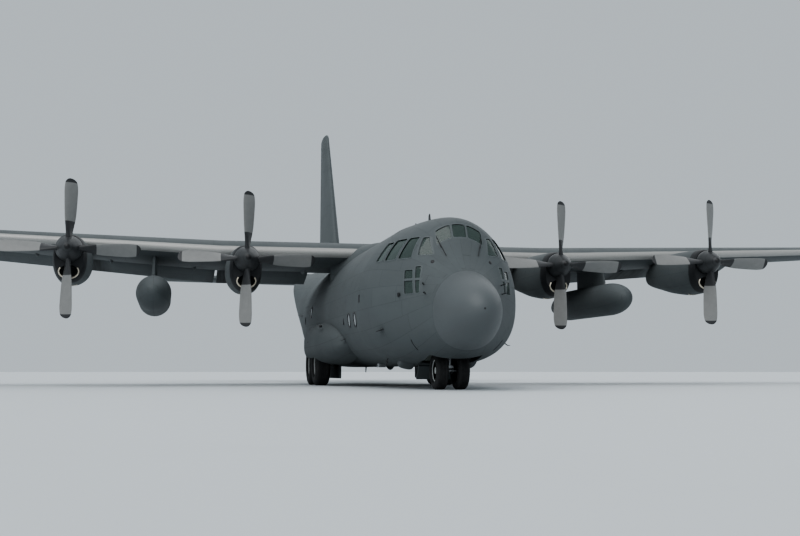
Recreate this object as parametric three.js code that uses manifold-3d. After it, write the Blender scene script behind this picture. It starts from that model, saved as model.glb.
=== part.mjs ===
// A four-engined military transport plane, parked on its wheels, as a 1:2 scale model.
// Every size below is that of the full-size aircraft in millimetres, and the outer group halves it.
// While it is built, X points to port, Y is the station aft of the nose tip and Z is the height
// above the ground. The exported group moves the origin to the middle of the length.

import * as THREE from "three";
import { mergeVertices } from "three/addons/utils/BufferGeometryUtils.js";
import Module from "manifold-3d";

const wasm = await Module();
wasm.setup();

// Driving dimensions of the whole aircraft
const MODEL_SCALE = 0.5;
const LENGTH = 29790;
const HALF_SPAN = 20200;
const SEAM = 0.6;
const RING_POINTS = 28;

// Body shell
const SKIN = 100;
const RADOME_END = 1600;
const COCKPIT_END = 5900;
const RAMP_HINGE = 17450;
const RAMP_END = 20500;
const CARGO_DOOR_END = 24500;
const FLOOR_TOP = 1030;
const FLIGHT_DECK_TOP = 2000;

// Body sections: station, half width, top, widest height, bottom, squareness of the lower half
const BODY = [
  [0, 20, 1970, 1950, 1930, 2],
  [60, 210, 2170, 1950, 1730, 2],
  [250, 410, 2400, 1950, 1500, 2],
  [700, 640, 2660, 1950, 1230, 2],
  [1200, 790, 2840, 1960, 1080, 2.1],
  [1600, 880, 2980, 1970, 1000, 2.2],
  [1950, 1080, 3330, 2040, 930, 2.3],
  [2600, 1470, 4380, 2200, 800, 2.4],
  [3300, 1800, 4550, 2320, 700, 2.5],
  [4200, 2060, 4600, 2370, 640, 2.6],
  [5200, 2160, 4620, 2400, 620, 2.7],
  [17400, 2160, 4620, 2400, 620, 2.7],
  [18900, 2150, 4660, 2850, 1230, 2.5],
  [20500, 2110, 4730, 3350, 1900, 2.4],
  [22600, 1980, 4840, 3900, 2790, 2.2],
  [24600, 1680, 4930, 4250, 3560, 2],
  [27000, 930, 4950, 4450, 3950, 2],
  [28700, 590, 4880, 4540, 4200, 2],
  [29790, 300, 4760, 4560, 4360, 2],
];

// Fairings between the wing's middle and the roof, ahead of it and behind it: station, half width, top
const FRONT_FAIRING = [
  [9900, 300, 4630],
  [10700, 1150, 4730],
  [11250, 1500, 4780],
  [12200, 1900, 4800],
];
const REAR_FAIRING = [
  [13400, 1380, 4740],
  [14800, 1330, 4750],
  [16400, 1000, 4700],
  [17300, 300, 4640],
];
const FAIRING_FOOT = 3700;

// Wing
const AILERON_HINGE = 0.76;
const CONTROL_GAP = 0.009;
const WING = {
  lead: 11300,
  height: 4400,
  dihedral: 0.043,
  chord: 4880,
  kink: 5600,
  leadSweep: 0.041,
  tipChord: 2480,
  incidence: 3,
  rootDepth: 878,
  tipDepth: 298,
  camber: 0.02,
};
const AILERON_SPAN = [14200, 19580];
const INNER_FLAP_SPAN = [2290, 5500];
const OUTER_FLAP_SPAN = [5660, 14020];
const FLAP_END_ROOM = 40;
// Flaps turn on curved tracks about a point below the wing, given in root chords
const FLAP_PIVOT = { aft: 0.758, below: 0.245 };
const FLAP_SET = 18;

// Tail
const TAILPLANE = { lead: 24330, leadSweep: 0.237, trail: 28800, trailSweep: 0.135, height: 4660 };
const TAILPLANE_HALF_SPAN = 8025;
const ELEVATOR_SPAN = [1350, 7700];
const FIN_ROOT = { height: 4700, lead: 22700, trail: 28850 };
const FIN_TIP = { height: 11660, lead: 26500, trail: 28650 };
const RUDDER_HEIGHT = [5080, 11150];

// Engines: name, distance from the middle, thrust line height
const ENGINES = [
  { name: "port_outer", x: 10150, z: 4050 },
  { name: "port_inner", x: 4970, z: 3850 },
  { name: "starboard_inner", x: -4970, z: 3850 },
  { name: "starboard_outer", x: -10150, z: 4050 },
];
const PROPELLER_STATION = 8380;
const PROPELLER_RADIUS = 2055;

// Nacelle sections: station, half width, top and bottom from the thrust line
const NACELLE = [
  [8660, 430, 430, -890],
  [9000, 490, 465, -980],
  [9700, 520, 495, -1000],
  [10800, 530, 520, -890],
  [11800, 490, 470, -700],
  [12850, 310, 130, -490],
];
const NACELLE_SIDES = 20;
const NACELLE_POWER = 0.85;

// Landing gear
const NOSE_AXLE = { station: 3380, height: 495, radius: 495, width: 330, x: 285 };
const MAIN_AXLE = { stations: [12390, 13910], height: 710, radius: 710, width: 510, x: 2175 };
const NOSE_BAY = { halfWidth: 710, front: 2620, rear: 4140, top: 1690 };
const MAIN_BAY = { inner: 1660, outer: 2485, front: 11600, rear: 14700, top: 1620 };
const BAY_WALL = 60;

// Sponson sections: station, outermost, top, bottom
const SPONSON = [
  [8250, 1880, 1500, 1220],
  [8800, 2230, 1760, 960],
  [9700, 2480, 1960, 780],
  [11000, 2620, 2100, 690],
  [12300, 2640, 2160, 660],
  [13500, 2610, 2140, 660],
  [14600, 2400, 2000, 690],
  [15400, 2060, 1750, 760],
  [16000, 1740, 1380, 880],
];
const SPONSON_MIDDLE = 1200;
const SPONSON_INNER = 1500;
const SPONSON_SIDES = 24;
const SPONSON_POWER = 0.66;

// External tanks
const TANK = { x: 7730, z: 2950, front: 9620, length: 7430, radius: 555, nose: 1500, tail: 5400 };
const TANK_SIDES = 16;
// The pylon's leading edge and chord where it meets the tank, then inside the wing
const PYLON = { lowLead: 11200, lowChord: 3000, highLead: 11850, highChord: 2350, high: 4400 };

// Colours, roughness and metalness of each kind of surface
const PAINT = { color: 0x5c666c, roughness: 0.75, metalness: 0.0 };
const RADOME_PAINT = { color: 0x656e72, roughness: 0.6, metalness: 0.0 };
const DARK_PAINT = { color: 0x2a2e31, roughness: 0.7, metalness: 0.0 };
const BARE_METAL = { color: 0xa9a59c, roughness: 0.35, metalness: 1.0 };
const STEEL = { color: 0x84888c, roughness: 0.4, metalness: 1.0 };
const TYRE = { color: 0x1b1b1c, roughness: 0.95, metalness: 0.0 };
const GLASS = { color: 0x53625c, roughness: 0.1, metalness: 0.0 };
const INTERIOR = { color: 0x4c5652, roughness: 0.8, metalness: 0.0 };

// Closed solids from geometries, turned outwards where they face in
function solid(geometry) {
  const loose = geometry.index ? geometry.toNonIndexed() : geometry;
  const plain = new THREE.BufferGeometry();
  plain.setAttribute("position", loose.getAttribute("position"));
  const merged = mergeVertices(plain, 1e-3);
  const vertProperties = merged.attributes.position.array;
  const triVerts = Uint32Array.from(merged.index.array);
  const made = new wasm.Manifold(new wasm.Mesh({ numProp: 3, vertProperties, triVerts }));
  if (made.volume() >= 0) return made;
  const turned = triVerts.slice().reverse();
  return new wasm.Manifold(new wasm.Mesh({ numProp: 3, vertProperties, triVerts: turned }));
}

function join(...parts) {
  return parts.reduce((whole, part) => whole.add(part));
}

function cut(whole, ...tools) {
  return tools.reduce((rest, tool) => rest.subtract(tool), whole);
}

// The triangles of a solid as a geometry with flat faces
function geometryOf(made) {
  const mesh = made.getMesh();
  const geometry = new THREE.BufferGeometry();
  geometry.setAttribute("position", new THREE.BufferAttribute(mesh.vertProperties, 3));
  geometry.setIndex(new THREE.BufferAttribute(mesh.triVerts, 1));
  const flat = geometry.toNonIndexed();
  flat.computeVertexNormals();
  return flat;
}

function piece(name, made, finish) {
  const mesh = new THREE.Mesh(geometryOf(made), new THREE.MeshStandardMaterial(finish));
  mesh.name = name;
  return mesh;
}

// A closed skin through rings of equally many points, with a flat cap on each end ring
function loft(rings) {
  const count = rings[0].length;
  const points = rings.flat();
  const triangles = [];
  for (let ring = 0; ring + 1 < rings.length; ring += 1) {
    for (let i = 0; i < count; i += 1) {
      const a = ring * count + i;
      const b = ring * count + ((i + 1) % count);
      triangles.push(a, b, b + count, a, b + count, a + count);
    }
  }
  const last = (rings.length - 1) * count;
  for (const [a, b, c] of capTriangles(rings[0])) triangles.push(a, c, b);
  for (const [a, b, c] of capTriangles(rings.at(-1))) triangles.push(last + a, last + b, last + c);
  const geometry = new THREE.BufferGeometry().setFromPoints(points);
  geometry.setIndex(triangles);
  return solid(geometry);
}

// Triangles that fill a flat ring, which turns the same way as the ring itself
function capTriangles(ring) {
  const normal = new THREE.Vector3();
  ring.forEach((point, i) => {
    const next = ring[(i + 1) % ring.length];
    normal.add(new THREE.Vector3().crossVectors(point, next));
  });
  const across = new THREE.Vector3(0, 0, 1);
  if (Math.abs(normal.z) > 0.9 * normal.length()) across.set(1, 0, 0);
  const u = new THREE.Vector3().crossVectors(across, normal).normalize();
  const v = new THREE.Vector3().crossVectors(normal, u).normalize();
  const flat = ring.map((point) => new THREE.Vector2(point.dot(u), point.dot(v)));
  return THREE.ShapeUtils.triangulateShape(flat, []);
}

function box(low, high) {
  const size = high.map((value, i) => value - low[i]);
  const geometry = new THREE.BoxGeometry(...size);
  geometry.translate(...low.map((value, i) => value + size[i] / 2));
  return solid(geometry);
}

// A round bar from one point to another
function bar(from, to, radius, sides = 16) {
  const start = new THREE.Vector3(...from);
  const end = new THREE.Vector3(...to);
  const along = end.clone().sub(start);
  const geometry = new THREE.CylinderGeometry(radius, radius, along.length(), sides);
  const turn = new THREE.Quaternion().setFromUnitVectors(
    new THREE.Vector3(0, 1, 0),
    along.clone().normalize(),
  );
  geometry.applyQuaternion(turn);
  geometry.translate(...start.add(end).multiplyScalar(0.5));
  return solid(geometry);
}

// A prism with an outline of stations and heights, standing between two distances from the middle
function sidePrism(outline, from, to) {
  return loft([from, to].map((x) => outline.map(([s, z]) => new THREE.Vector3(x, s, z))));
}

// A prism with an outline of distances from the middle and stations, between two heights
function planPrism(outline, from, to) {
  return loft([from, to].map((z) => outline.map(([x, s]) => new THREE.Vector3(x, s, z))));
}

// Straight blends of a table's columns at a value of its first column
function atStation(table, station) {
  let i = 1;
  while (i < table.length - 1 && table[i][0] < station) i += 1;
  const before = table[i - 1];
  const after = table[i];
  const share = (station - before[0]) / (after[0] - before[0]);
  return before.map((value, column) => value + share * (after[column] - value));
}

// One body section: an ellipse above its widest height and a squarer curve below, drawn in by inset
function bodyRing([station, width, top, middle, bottom, square], inset) {
  const ring = [];
  for (let i = 0; i < RING_POINTS; i += 1) {
    const angle = (2 * Math.PI * (i + 0.5)) / RING_POINTS;
    const c = Math.cos(angle);
    const s = Math.sin(angle);
    const power = s > 0 ? 1 : 2 / square;
    const x = Math.sign(c) * Math.abs(c) ** power * Math.max(width - inset, 5);
    const rise = s > 0 ? s * (top - middle - inset) : -((-s) ** power) * (middle - bottom - inset);
    ring.push(new THREE.Vector3(x, station, middle + rise));
  }
  return ring;
}

// A rounded box's outline about a middle point, from a full ellipse at power 1 to squarer ones below
function roundedRing({ x, z, station }, halfWidth, halfHeight, sides, power) {
  const ring = [];
  for (let i = 0; i < sides; i += 1) {
    const angle = (2 * Math.PI * (i + 0.5)) / sides;
    const c = Math.cos(angle);
    const s = Math.sin(angle);
    const out = Math.sign(c) * Math.abs(c) ** power * halfWidth;
    const up = Math.sign(s) * Math.abs(s) ** power * halfHeight;
    ring.push(new THREE.Vector3(x + out, station, z + up));
  }
  return ring;
}

// The body between two stations, drawn in by inset all round
function body(from, to, inset = 0) {
  const inner = BODY.filter(([station]) => station > from && station < to);
  const sections = [atStation(BODY, from), ...inner, atStation(BODY, to)];
  return loft(sections.map((section) => bodyRing(section, inset)));
}

function bodyShell(from, to) {
  return cut(body(from, to), body(from - (from > RADOME_END ? 50 : -SKIN), to + 50, SKIN));
}

// Half thickness of a wing section as a share of its chord, at a share u of the chord
function foilHalf(u, thickness) {
  const curve = 0.2969 * Math.sqrt(u) - 0.126 * u - 0.3516 * u ** 2 + 0.2843 * u ** 3;
  return 5 * thickness * (curve - 0.1015 * u ** 4);
}

function foilCamber(u, camber) {
  return 4 * camber * u * (1 - u);
}

// Outline points [u, w] of a wing section from its upper end round the leading edge to its lower end
function foilOutline({ thickness, camber }, upperEnd = 1, lowerEnd = 1, steps = 6) {
  const outline = [];
  for (let i = 0; i <= steps; i += 1) {
    const u = upperEnd * (1 - Math.sin((i / steps) * (Math.PI / 2))) ** 1.15;
    outline.push([u, foilCamber(u, camber) + foilHalf(u, thickness)]);
  }
  for (let i = 1; i <= steps; i += 1) {
    const u = lowerEnd * (1 - Math.cos((i / steps) * (Math.PI / 2))) ** 1.15;
    outline.push([u, foilCamber(u, camber) - foilHalf(u, thickness)]);
  }
  return outline;
}

// What a flap bay takes away: all behind a cove, which the upper skin overhangs as a lip
const FLAP_BAY = { lower: 0.685, cove: 0.692, lip: 0.79, skin: 0.008, beyond: 0.3 };
function flapBayOutline(section) {
  const { lower, cove, lip, skin, beyond } = FLAP_BAY;
  const upper = (u) => foilCamber(u, section.camber) + foilHalf(u, section.thickness);
  return [
    [lower, -beyond],
    [cove, upper(cove) - 3 * skin],
    [lip, upper(lip) - skin],
    [lip, beyond],
    [1 + beyond, beyond],
    [1 + beyond, -beyond],
  ];
}

// What a hinged surface's bay takes away: all behind its round nose and a gap
function hingeBayOutline(section) {
  const front = section.hinge - foilHalf(section.hinge, section.thickness) - CONTROL_GAP;
  return [
    [front, -0.3],
    [front, 0.3],
    [1.3, 0.3],
    [1.3, -0.3],
  ];
}

// A slim flap that lies in the cove and ends at the wing's trailing edge
const FLAP_FOIL = { nose: 0.705, drop: 0.004, thickness: 0.15, camber: 0.015 };
function flapOutline() {
  const { nose, drop } = FLAP_FOIL;
  return foilOutline(FLAP_FOIL, 1, 1, 5).map(([u, w]) => [
    nose + u * (1 - nose),
    -drop * (1 - u) + w * (1 - nose),
  ]);
}

// A control surface behind a hinge: a round nose about the hinge, then the section's own skins
const NOSE_STEPS = 6;
function controlOutline(section) {
  const { hinge } = section;
  const half = foilHalf(hinge, section.thickness);
  const middle = foilCamber(hinge, section.camber);
  const upper = (u) => [u, foilCamber(u, section.camber) + foilHalf(u, section.thickness)];
  const lower = (u) => [u, foilCamber(u, section.camber) - foilHalf(u, section.thickness)];
  const nose = [];
  for (let i = 0; i <= NOSE_STEPS; i += 1) {
    const angle = (Math.PI * i) / NOSE_STEPS;
    nose.push([hinge - half * Math.sin(angle), middle + half * Math.cos(angle)]);
  }
  const mid = (hinge + 1) / 2;
  return [upper(1), upper(mid), ...nose, lower(mid), lower(1)];
}

// Puts outline points on a section in space, grown by extra all round
function sectionRing({ lead, along, across, chord }, outline, extra = 0) {
  const middle = 0.4;
  return outline.map(([u, w]) => {
    const grow = 1 + extra / (0.4 * chord);
    const lift = w * chord + Math.sign(w) * extra;
    return lead
      .clone()
      .addScaledVector(along, chord * (middle + (u - middle) * grow))
      .addScaledVector(across, lift);
  });
}

// The wing's section at a distance from the middle, of either side
function wingSection(x) {
  const out = Math.abs(x);
  const past = Math.max(0, out - WING.kink);
  const share = past / (HALF_SPAN - WING.kink);
  const turn = THREE.MathUtils.degToRad(WING.incidence * (1 - share));
  const blend = (root, tip) => root + share * (tip - root);
  const chord = blend(WING.chord, WING.tipChord);
  return {
    lead: new THREE.Vector3(x, WING.lead + WING.leadSweep * past, WING.height + WING.dihedral * past),
    along: new THREE.Vector3(0, Math.cos(turn), -Math.sin(turn)),
    across: new THREE.Vector3(0, Math.sin(turn), Math.cos(turn)),
    chord,
    thickness: blend(WING.rootDepth, WING.tipDepth) / chord,
    camber: WING.camber,
    hinge: AILERON_HINGE,
  };
}

// A loft of one outline over the sections at some stations of a lifting surface
function surfaceLoft(sectionOf, stations, outlineOf = foilOutline, extra = 0) {
  return loft(
    stations.map((station) => {
      const section = sectionOf(station);
      return sectionRing(section, outlineOf(section), extra);
    }),
  );
}

// A surface's rounded end, from one station out to a smaller, thinner section
function surfaceTip(sectionOf, near, far, { setBack, shorter, thickness }, extra = 0) {
  const inner = sectionOf(near);
  const outer = sectionOf(far);
  outer.lead.y += setBack;
  outer.chord -= shorter;
  outer.thickness = thickness;
  return loft([inner, outer].map((each) => sectionRing(each, foilOutline(each), extra)));
}

const CENTRE_STATIONS = [-WING.kink, WING.kink];
const WING_TIP = { near: 20000, setBack: 260, shorter: 430, thickness: 0.05 };
const OUTER_STATIONS = [WING.kink + SEAM, WING_TIP.near];
const BAY_CLEARANCE = 60;

// A bay as wide as its control surface and a clearance at each end
function bay(sectionOf, [from, to], outlineOf) {
  const direction = Math.sign(to - from) * BAY_CLEARANCE;
  return surfaceLoft(sectionOf, [from - direction, to + direction], outlineOf);
}

// The wing grown by a seam, which its neighbours are cut with
function wingTool(stations) {
  return surfaceLoft(wingSection, stations, foilOutline, SEAM);
}

function centreWing() {
  const [inner] = INNER_FLAP_SPAN;
  const span = [inner, WING.kink + 100];
  return cut(
    surfaceLoft(wingSection, CENTRE_STATIONS),
    bay(wingSection, span, flapBayOutline),
    bay(
      wingSection,
      span.map((x) => -x),
      flapBayOutline,
    ),
  );
}

function outerWing() {
  const [, outer] = OUTER_FLAP_SPAN;
  return cut(
    join(
      surfaceLoft(wingSection, OUTER_STATIONS),
      surfaceTip(wingSection, WING_TIP.near, HALF_SPAN, WING_TIP),
    ),
    bay(wingSection, [WING.kink - 100, outer + FLAP_END_ROOM], flapBayOutline),
    bay(wingSection, AILERON_SPAN, hingeBayOutline),
  );
}

// A fairing over the roof: low arches along the aircraft, cut by the body and by the wing
function roofFairing(table) {
  const rings = table.map(([station, half, top]) => {
    const middle = { x: 0, z: FAIRING_FOOT, station };
    return roundedRing(middle, half, top - FAIRING_FOOT, RING_POINTS, NACELLE_POWER);
  });
  return cut(loft(rings), body(COCKPIT_END, CARGO_DOOR_END, -SEAM), wingTool(CENTRE_STATIONS));
}

// Where a flap's turning axis passes a distance from the middle
function flapPivot(x) {
  const { lead, chord } = wingSection(x);
  const share = chord / WING.chord;
  return new THREE.Vector3(
    x,
    lead.y + FLAP_PIVOT.aft * chord,
    lead.z - FLAP_PIVOT.below * WING.chord * share - 0.04 * chord,
  );
}

// A group that turns what it holds about an axis through two points
function turnedAbout(from, to, degrees, mesh) {
  const pivot = new THREE.Group();
  const axis = to.clone().sub(from).normalize();
  pivot.position.copy(from);
  pivot.setRotationFromAxisAngle(axis, THREE.MathUtils.degToRad(degrees));
  mesh.position.copy(from).negate();
  pivot.add(mesh);
  return pivot;
}

function flap(name, span) {
  const made = surfaceLoft(wingSection, span, flapOutline);
  return turnedAbout(flapPivot(span[0]), flapPivot(span[1]), -FLAP_SET, piece(name, made, PAINT));
}

function aileron(name) {
  return piece(name, surfaceLoft(wingSection, AILERON_SPAN, controlOutline), PAINT);
}

// Tailplane sections are symmetrical and stand at one height
const TAIL_FOIL = { thickness: 0.12, camber: 0 };
const ELEVATOR_HINGE = 27400;
function tailSection(x) {
  const out = Math.abs(x);
  const lead = TAILPLANE.lead + TAILPLANE.leadSweep * out;
  const chord = TAILPLANE.trail - TAILPLANE.trailSweep * out - lead;
  return {
    lead: new THREE.Vector3(x, lead, TAILPLANE.height),
    along: new THREE.Vector3(0, 1, 0),
    across: new THREE.Vector3(0, 0, 1),
    chord,
    hinge: (ELEVATOR_HINGE - lead) / chord,
    ...TAIL_FOIL,
  };
}

// The hollow inside a tail surface's skin, from near its leading edge to ahead of its hinge
const TAIL_SKIN = 35;
const HOLLOW_STEPS = [0.05, 0.12, 0.25, 0.5, 1];
const HOLLOW_AHEAD = 0.09;
function hollowOutline({ hinge, thickness, chord }) {
  const upper = HOLLOW_STEPS.map((step) => {
    const u = step * (hinge - HOLLOW_AHEAD);
    return [u, foilHalf(u, thickness) - TAIL_SKIN / chord];
  });
  const lower = upper.map(([u, w]) => [u, -w]).reverse();
  return [...upper, ...lower];
}

const TAIL_TIP = { near: 7860, setBack: 220, shorter: 280, thickness: 0.06 };
function tailplaneForm(extra = 0) {
  const { near } = TAIL_TIP;
  return join(
    surfaceLoft(tailSection, [-near, 0, near], foilOutline, extra),
    surfaceTip(tailSection, near, TAILPLANE_HALF_SPAN, TAIL_TIP, extra),
    surfaceTip(tailSection, -near, -TAILPLANE_HALF_SPAN, TAIL_TIP, extra),
  );
}

// The tailplane is hollow, and a hatch under its middle opens into the fuselage
const TAILPLANE_HOLLOW = 6900;
const TAILPLANE_HATCH = { halfWidth: 300, front: 25200, rear: 26200 };
function tailplane() {
  const { halfWidth, front, rear } = TAILPLANE_HATCH;
  return cut(
    tailplaneForm(),
    bay(tailSection, ELEVATOR_SPAN, hingeBayOutline),
    bay(
      tailSection,
      ELEVATOR_SPAN.map((x) => -x),
      hingeBayOutline,
    ),
    surfaceLoft(tailSection, [-TAILPLANE_HOLLOW, 0, TAILPLANE_HOLLOW], hollowOutline),
    box([-halfWidth, front, 0], [halfWidth, rear, TAILPLANE.height]),
  );
}

function elevator(name) {
  return piece(name, surfaceLoft(tailSection, ELEVATOR_SPAN, controlOutline), PAINT);
}

const FIN_FOIL = { thickness: 0.11, camber: 0 };
const RUDDER_HINGE_ROOT = 0.74;
const RUDDER_HINGE_TIP = 0.58;
function finSection(z) {
  const share = (z - FIN_ROOT.height) / (FIN_TIP.height - FIN_ROOT.height);
  const blend = (root, tip) => root + share * (tip - root);
  const lead = blend(FIN_ROOT.lead, FIN_TIP.lead);
  return {
    lead: new THREE.Vector3(0, lead, z),
    along: new THREE.Vector3(0, 1, 0),
    across: new THREE.Vector3(1, 0, 0),
    chord: blend(FIN_ROOT.trail, FIN_TIP.trail) - lead,
    hinge: blend(RUDDER_HINGE_ROOT, RUDDER_HINGE_TIP),
    ...FIN_FOIL,
  };
}

// Sections of the low fillet ahead of the fin: station, half width, ridge height
const FIN_FILLET = [
  [19600, 30, 4780],
  [21500, 120, 4990],
  [24400, 200, 5950],
];
const FIN_TIP_END = { near: 11480, setBack: 180, shorter: 240, thickness: 0.07 };
const FIN_HOLLOW_TOP = 10900;
// The fin is hollow too, and open at its foot on the fuselage
function fin() {
  const { near } = FIN_TIP_END;
  const root = FIN_ROOT.height - 300;
  const [low, high] = RUDDER_HEIGHT;
  const fillet = loft(
    FIN_FILLET.map(([station, half, ridge]) => [
      new THREE.Vector3(-half, station, root),
      new THREE.Vector3(half, station, root),
      new THREE.Vector3(12, station, ridge),
      new THREE.Vector3(-12, station, ridge),
    ]),
  );
  const whole = cut(
    join(
      surfaceLoft(finSection, [root, near]),
      surfaceTip(finSection, near, FIN_TIP.height, FIN_TIP_END),
    ),
    bay(finSection, [low, high], hingeBayOutline),
  );
  return cut(
    join(whole, fillet),
    surfaceLoft(finSection, [root - SEAM, FIN_HOLLOW_TOP], hollowOutline),
    body(RAMP_HINGE, LENGTH, -SEAM),
    tailplaneForm(SEAM),
  );
}

function rudder() {
  return surfaceLoft(finSection, RUDDER_HEIGHT, controlOutline);
}

// Front fuselage: shell with the crew door's opening, the windows and the nose wheel bay
const CREW_DOOR = { front: 4550, rear: 5350, low: 1030, high: 2280 };
// Side windows: front and rear station at the bottom, then at the top, low and high edge
const SIDE_WINDOWS = [
  { low: [2070, 2170], high: [2230, 2350], z: [2440, 3130] },
  { low: [2230, 2500], high: [2390, 2620], z: [2440, 3050] },
  { low: [2180, 2420], high: [2440, 2560], z: [3430, 3900] },
  { low: [2560, 3010], high: [2680, 3010], z: [3380, 3930] },
  { low: [3110, 3620], high: [3110, 3620], z: [3380, 3930] },
  { low: [3720, 4180], high: [3720, 4120], z: [3400, 3900] },
];
const WINDOW_INNER = 650;
// Windscreen panes in the sloping front: inner and outer edge from the middle, front and rear station
const FRONT_PANES = [
  [-170, 170],
  [220, 600],
  [-600, -220],
];
const PANE_STATIONS = [2260, 2470];

function windowTools() {
  const tools = [];
  for (const { low, high, z } of SIDE_WINDOWS) {
    const outline = [
      [low[0], z[0]],
      [low[1], z[0]],
      [high[1], z[1]],
      [high[0], z[1]],
    ];
    tools.push(sidePrism(outline, WINDOW_INNER, 2400), sidePrism(outline, -2400, -WINDOW_INNER));
  }
  for (const [left, right] of FRONT_PANES) {
    tools.push(box([left, PANE_STATIONS[0], 3000], [right, PANE_STATIONS[1], 5000]));
  }
  return tools;
}

function crewDoorTool(gap = 0) {
  const { front, rear, low, high } = CREW_DOOR;
  return box([1200, front - gap, low - gap], [2400, rear + gap, high + gap]);
}

function noseBayWalls() {
  const { halfWidth, front, rear, top } = NOSE_BAY;
  const low = [-halfWidth - BAY_WALL, front - BAY_WALL, 0];
  const high = [halfWidth + BAY_WALL, rear + BAY_WALL, top + BAY_WALL];
  return body(RADOME_END, COCKPIT_END, SKIN / 2).intersect(box(low, high));
}

function noseBayTool() {
  const { halfWidth, front, rear, top } = NOSE_BAY;
  return box([-halfWidth, front, 0], [halfWidth, rear, top]);
}

function cockpitShell() {
  const shell = join(bodyShell(RADOME_END + SEAM, COCKPIT_END), noseBayWalls());
  return cut(shell, noseBayTool(), crewDoorTool(10), ...windowTools());
}

function crewDoor() {
  return bodyShell(RADOME_END + SEAM, COCKPIT_END).intersect(crewDoorTool());
}

function cockpitGlazing() {
  const liner = cut(
    body(1950, 4350, SKIN + 5),
    body(1850, 4400, SKIN + 30),
    box([-3000, 0, 0], [3000, 9000, 2250]),
  );
  return liner;
}

function flightDeck() {
  const floor = box([-2200, 1800, FLIGHT_DECK_TOP - 60], [2200, COCKPIT_END - 100, FLIGHT_DECK_TOP]);
  const panel = box([-1100, 2060, FLIGHT_DECK_TOP - 10], [1100, 2330, 2850]);
  const pedestal = box([-230, 2300, FLIGHT_DECK_TOP - 10], [230, 3300, 2600]);
  const seats = [-720, 720].flatMap((x) => [
    box([x - 250, 2950, FLIGHT_DECK_TOP - 10], [x + 250, 3450, 2450]),
    box([x - 240, 3350, 2400], [x + 240, 3470, 3250]),
  ]);
  const whole = join(floor, panel, pedestal, ...seats);
  return whole.intersect(body(1750, COCKPIT_END, SKIN + 40));
}

// Centre fuselage: shell with the two wheel bays boxed in, and jacking pads under the belly
const JACK_PADS = [-900, 900];
const JACK_PAD = { station: 8200, half: 120, bottom: 590, top: 760 };
function mainBayWalls(side) {
  const { inner, outer, front, rear, top } = MAIN_BAY;
  const near = inner - BAY_WALL;
  const [from, to] = side > 0 ? [near, outer] : [-outer, -near];
  return body(COCKPIT_END + SEAM, RAMP_HINGE, SKIN / 2).intersect(
    box([from, front - BAY_WALL, 0], [to, rear + BAY_WALL, top + BAY_WALL]),
  );
}

function mainBayTool(side) {
  const { inner, outer, front, rear, top } = MAIN_BAY;
  const [from, to] = side > 0 ? [inner, outer] : [-outer, -inner];
  return box([from, front, 0], [to, rear, top]);
}

const PARATROOP_DOOR = { front: 16330, rear: 17260, low: 1050, high: 2880 };
function paratroopTool(side, gap = 0) {
  const { front, rear, low, high } = PARATROOP_DOOR;
  const [from, to] = side > 0 ? [1300, 2400] : [-2400, -1300];
  return box([from, front - gap, low - gap], [to, rear + gap, high + gap]);
}

function centreFuselage() {
  const pads = JACK_PADS.map((x) => {
    const { station, half, bottom, top } = JACK_PAD;
    return box([x - half, station - half, bottom], [x + half, station + half, top]);
  });
  const shell = join(
    bodyShell(COCKPIT_END + SEAM, RAMP_HINGE - SEAM),
    mainBayWalls(1),
    mainBayWalls(-1),
    ...pads,
  );
  const tools = [mainBayTool(1), mainBayTool(-1), paratroopTool(1, 8), paratroopTool(-1, 8)];
  return cut(shell, ...tools, wingTool(CENTRE_STATIONS));
}

function paratroopDoor(side) {
  return bodyShell(COCKPIT_END + SEAM, RAMP_HINGE - SEAM).intersect(paratroopTool(side));
}

function cargoFloor() {
  const block = box([-1520, COCKPIT_END - 1500, 600], [1520, RAMP_HINGE - 30, FLOOR_TOP]);
  return block.intersect(body(COCKPIT_END - 1600, RAMP_HINGE, SKIN + 5));
}

// Rear fuselage: the ramp and the cargo door above it close one long opening
const DOOR_PLAN = { hinge: 1480, middle: 1460, end: 1180 };
const CARGO_DOOR_TOP = 4150;
function rampTool(gap) {
  const { hinge, middle } = DOOR_PLAN;
  const plan = [
    [-hinge - gap, RAMP_HINGE - 50],
    [hinge + gap, RAMP_HINGE - 50],
    [middle + gap, RAMP_END],
    [-middle - gap, RAMP_END],
  ];
  return planPrism(plan, 0, 3000);
}

function cargoDoorTool(gap) {
  const { middle, end } = DOOR_PLAN;
  const plan = [
    [-middle - gap, RAMP_END - 50],
    [middle + gap, RAMP_END - 50],
    [end + gap, CARGO_DOOR_END + gap],
    [-end - gap, CARGO_DOOR_END + gap],
  ];
  return planPrism(plan, 0, CARGO_DOOR_TOP);
}

// The ramp's rear face leans forward, so that the door's lower edge can swing up past it
const DOOR_GAP = 20;
const RAMP_REAR = { bottom: 1880, top: 2240, lean: 220 };
function ramp() {
  const { bottom, top, lean } = RAMP_REAR;
  const side = [
    [RAMP_HINGE + DOOR_GAP, 0],
    [RAMP_END - DOOR_GAP, 0],
    [RAMP_END - DOOR_GAP, bottom],
    [RAMP_END - DOOR_GAP - lean, top],
    [RAMP_HINGE + DOOR_GAP, FLOOR_TOP],
  ];
  return body(COCKPIT_END, CARGO_DOOR_END)
    .intersect(rampTool(-DOOR_GAP))
    .intersect(sidePrism(side, -2 * SPONSON_INNER, 2 * SPONSON_INNER));
}

function cargoDoor() {
  const low = [-2 * SPONSON_INNER, RAMP_END + DOOR_GAP, 0];
  const high = [2 * SPONSON_INNER, CARGO_DOOR_END - DOOR_GAP, CARGO_DOOR_TOP];
  return bodyShell(RAMP_HINGE, CARGO_DOOR_END + 2 * SKIN)
    .intersect(cargoDoorTool(-DOOR_GAP))
    .intersect(box(low, high));
}

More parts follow.
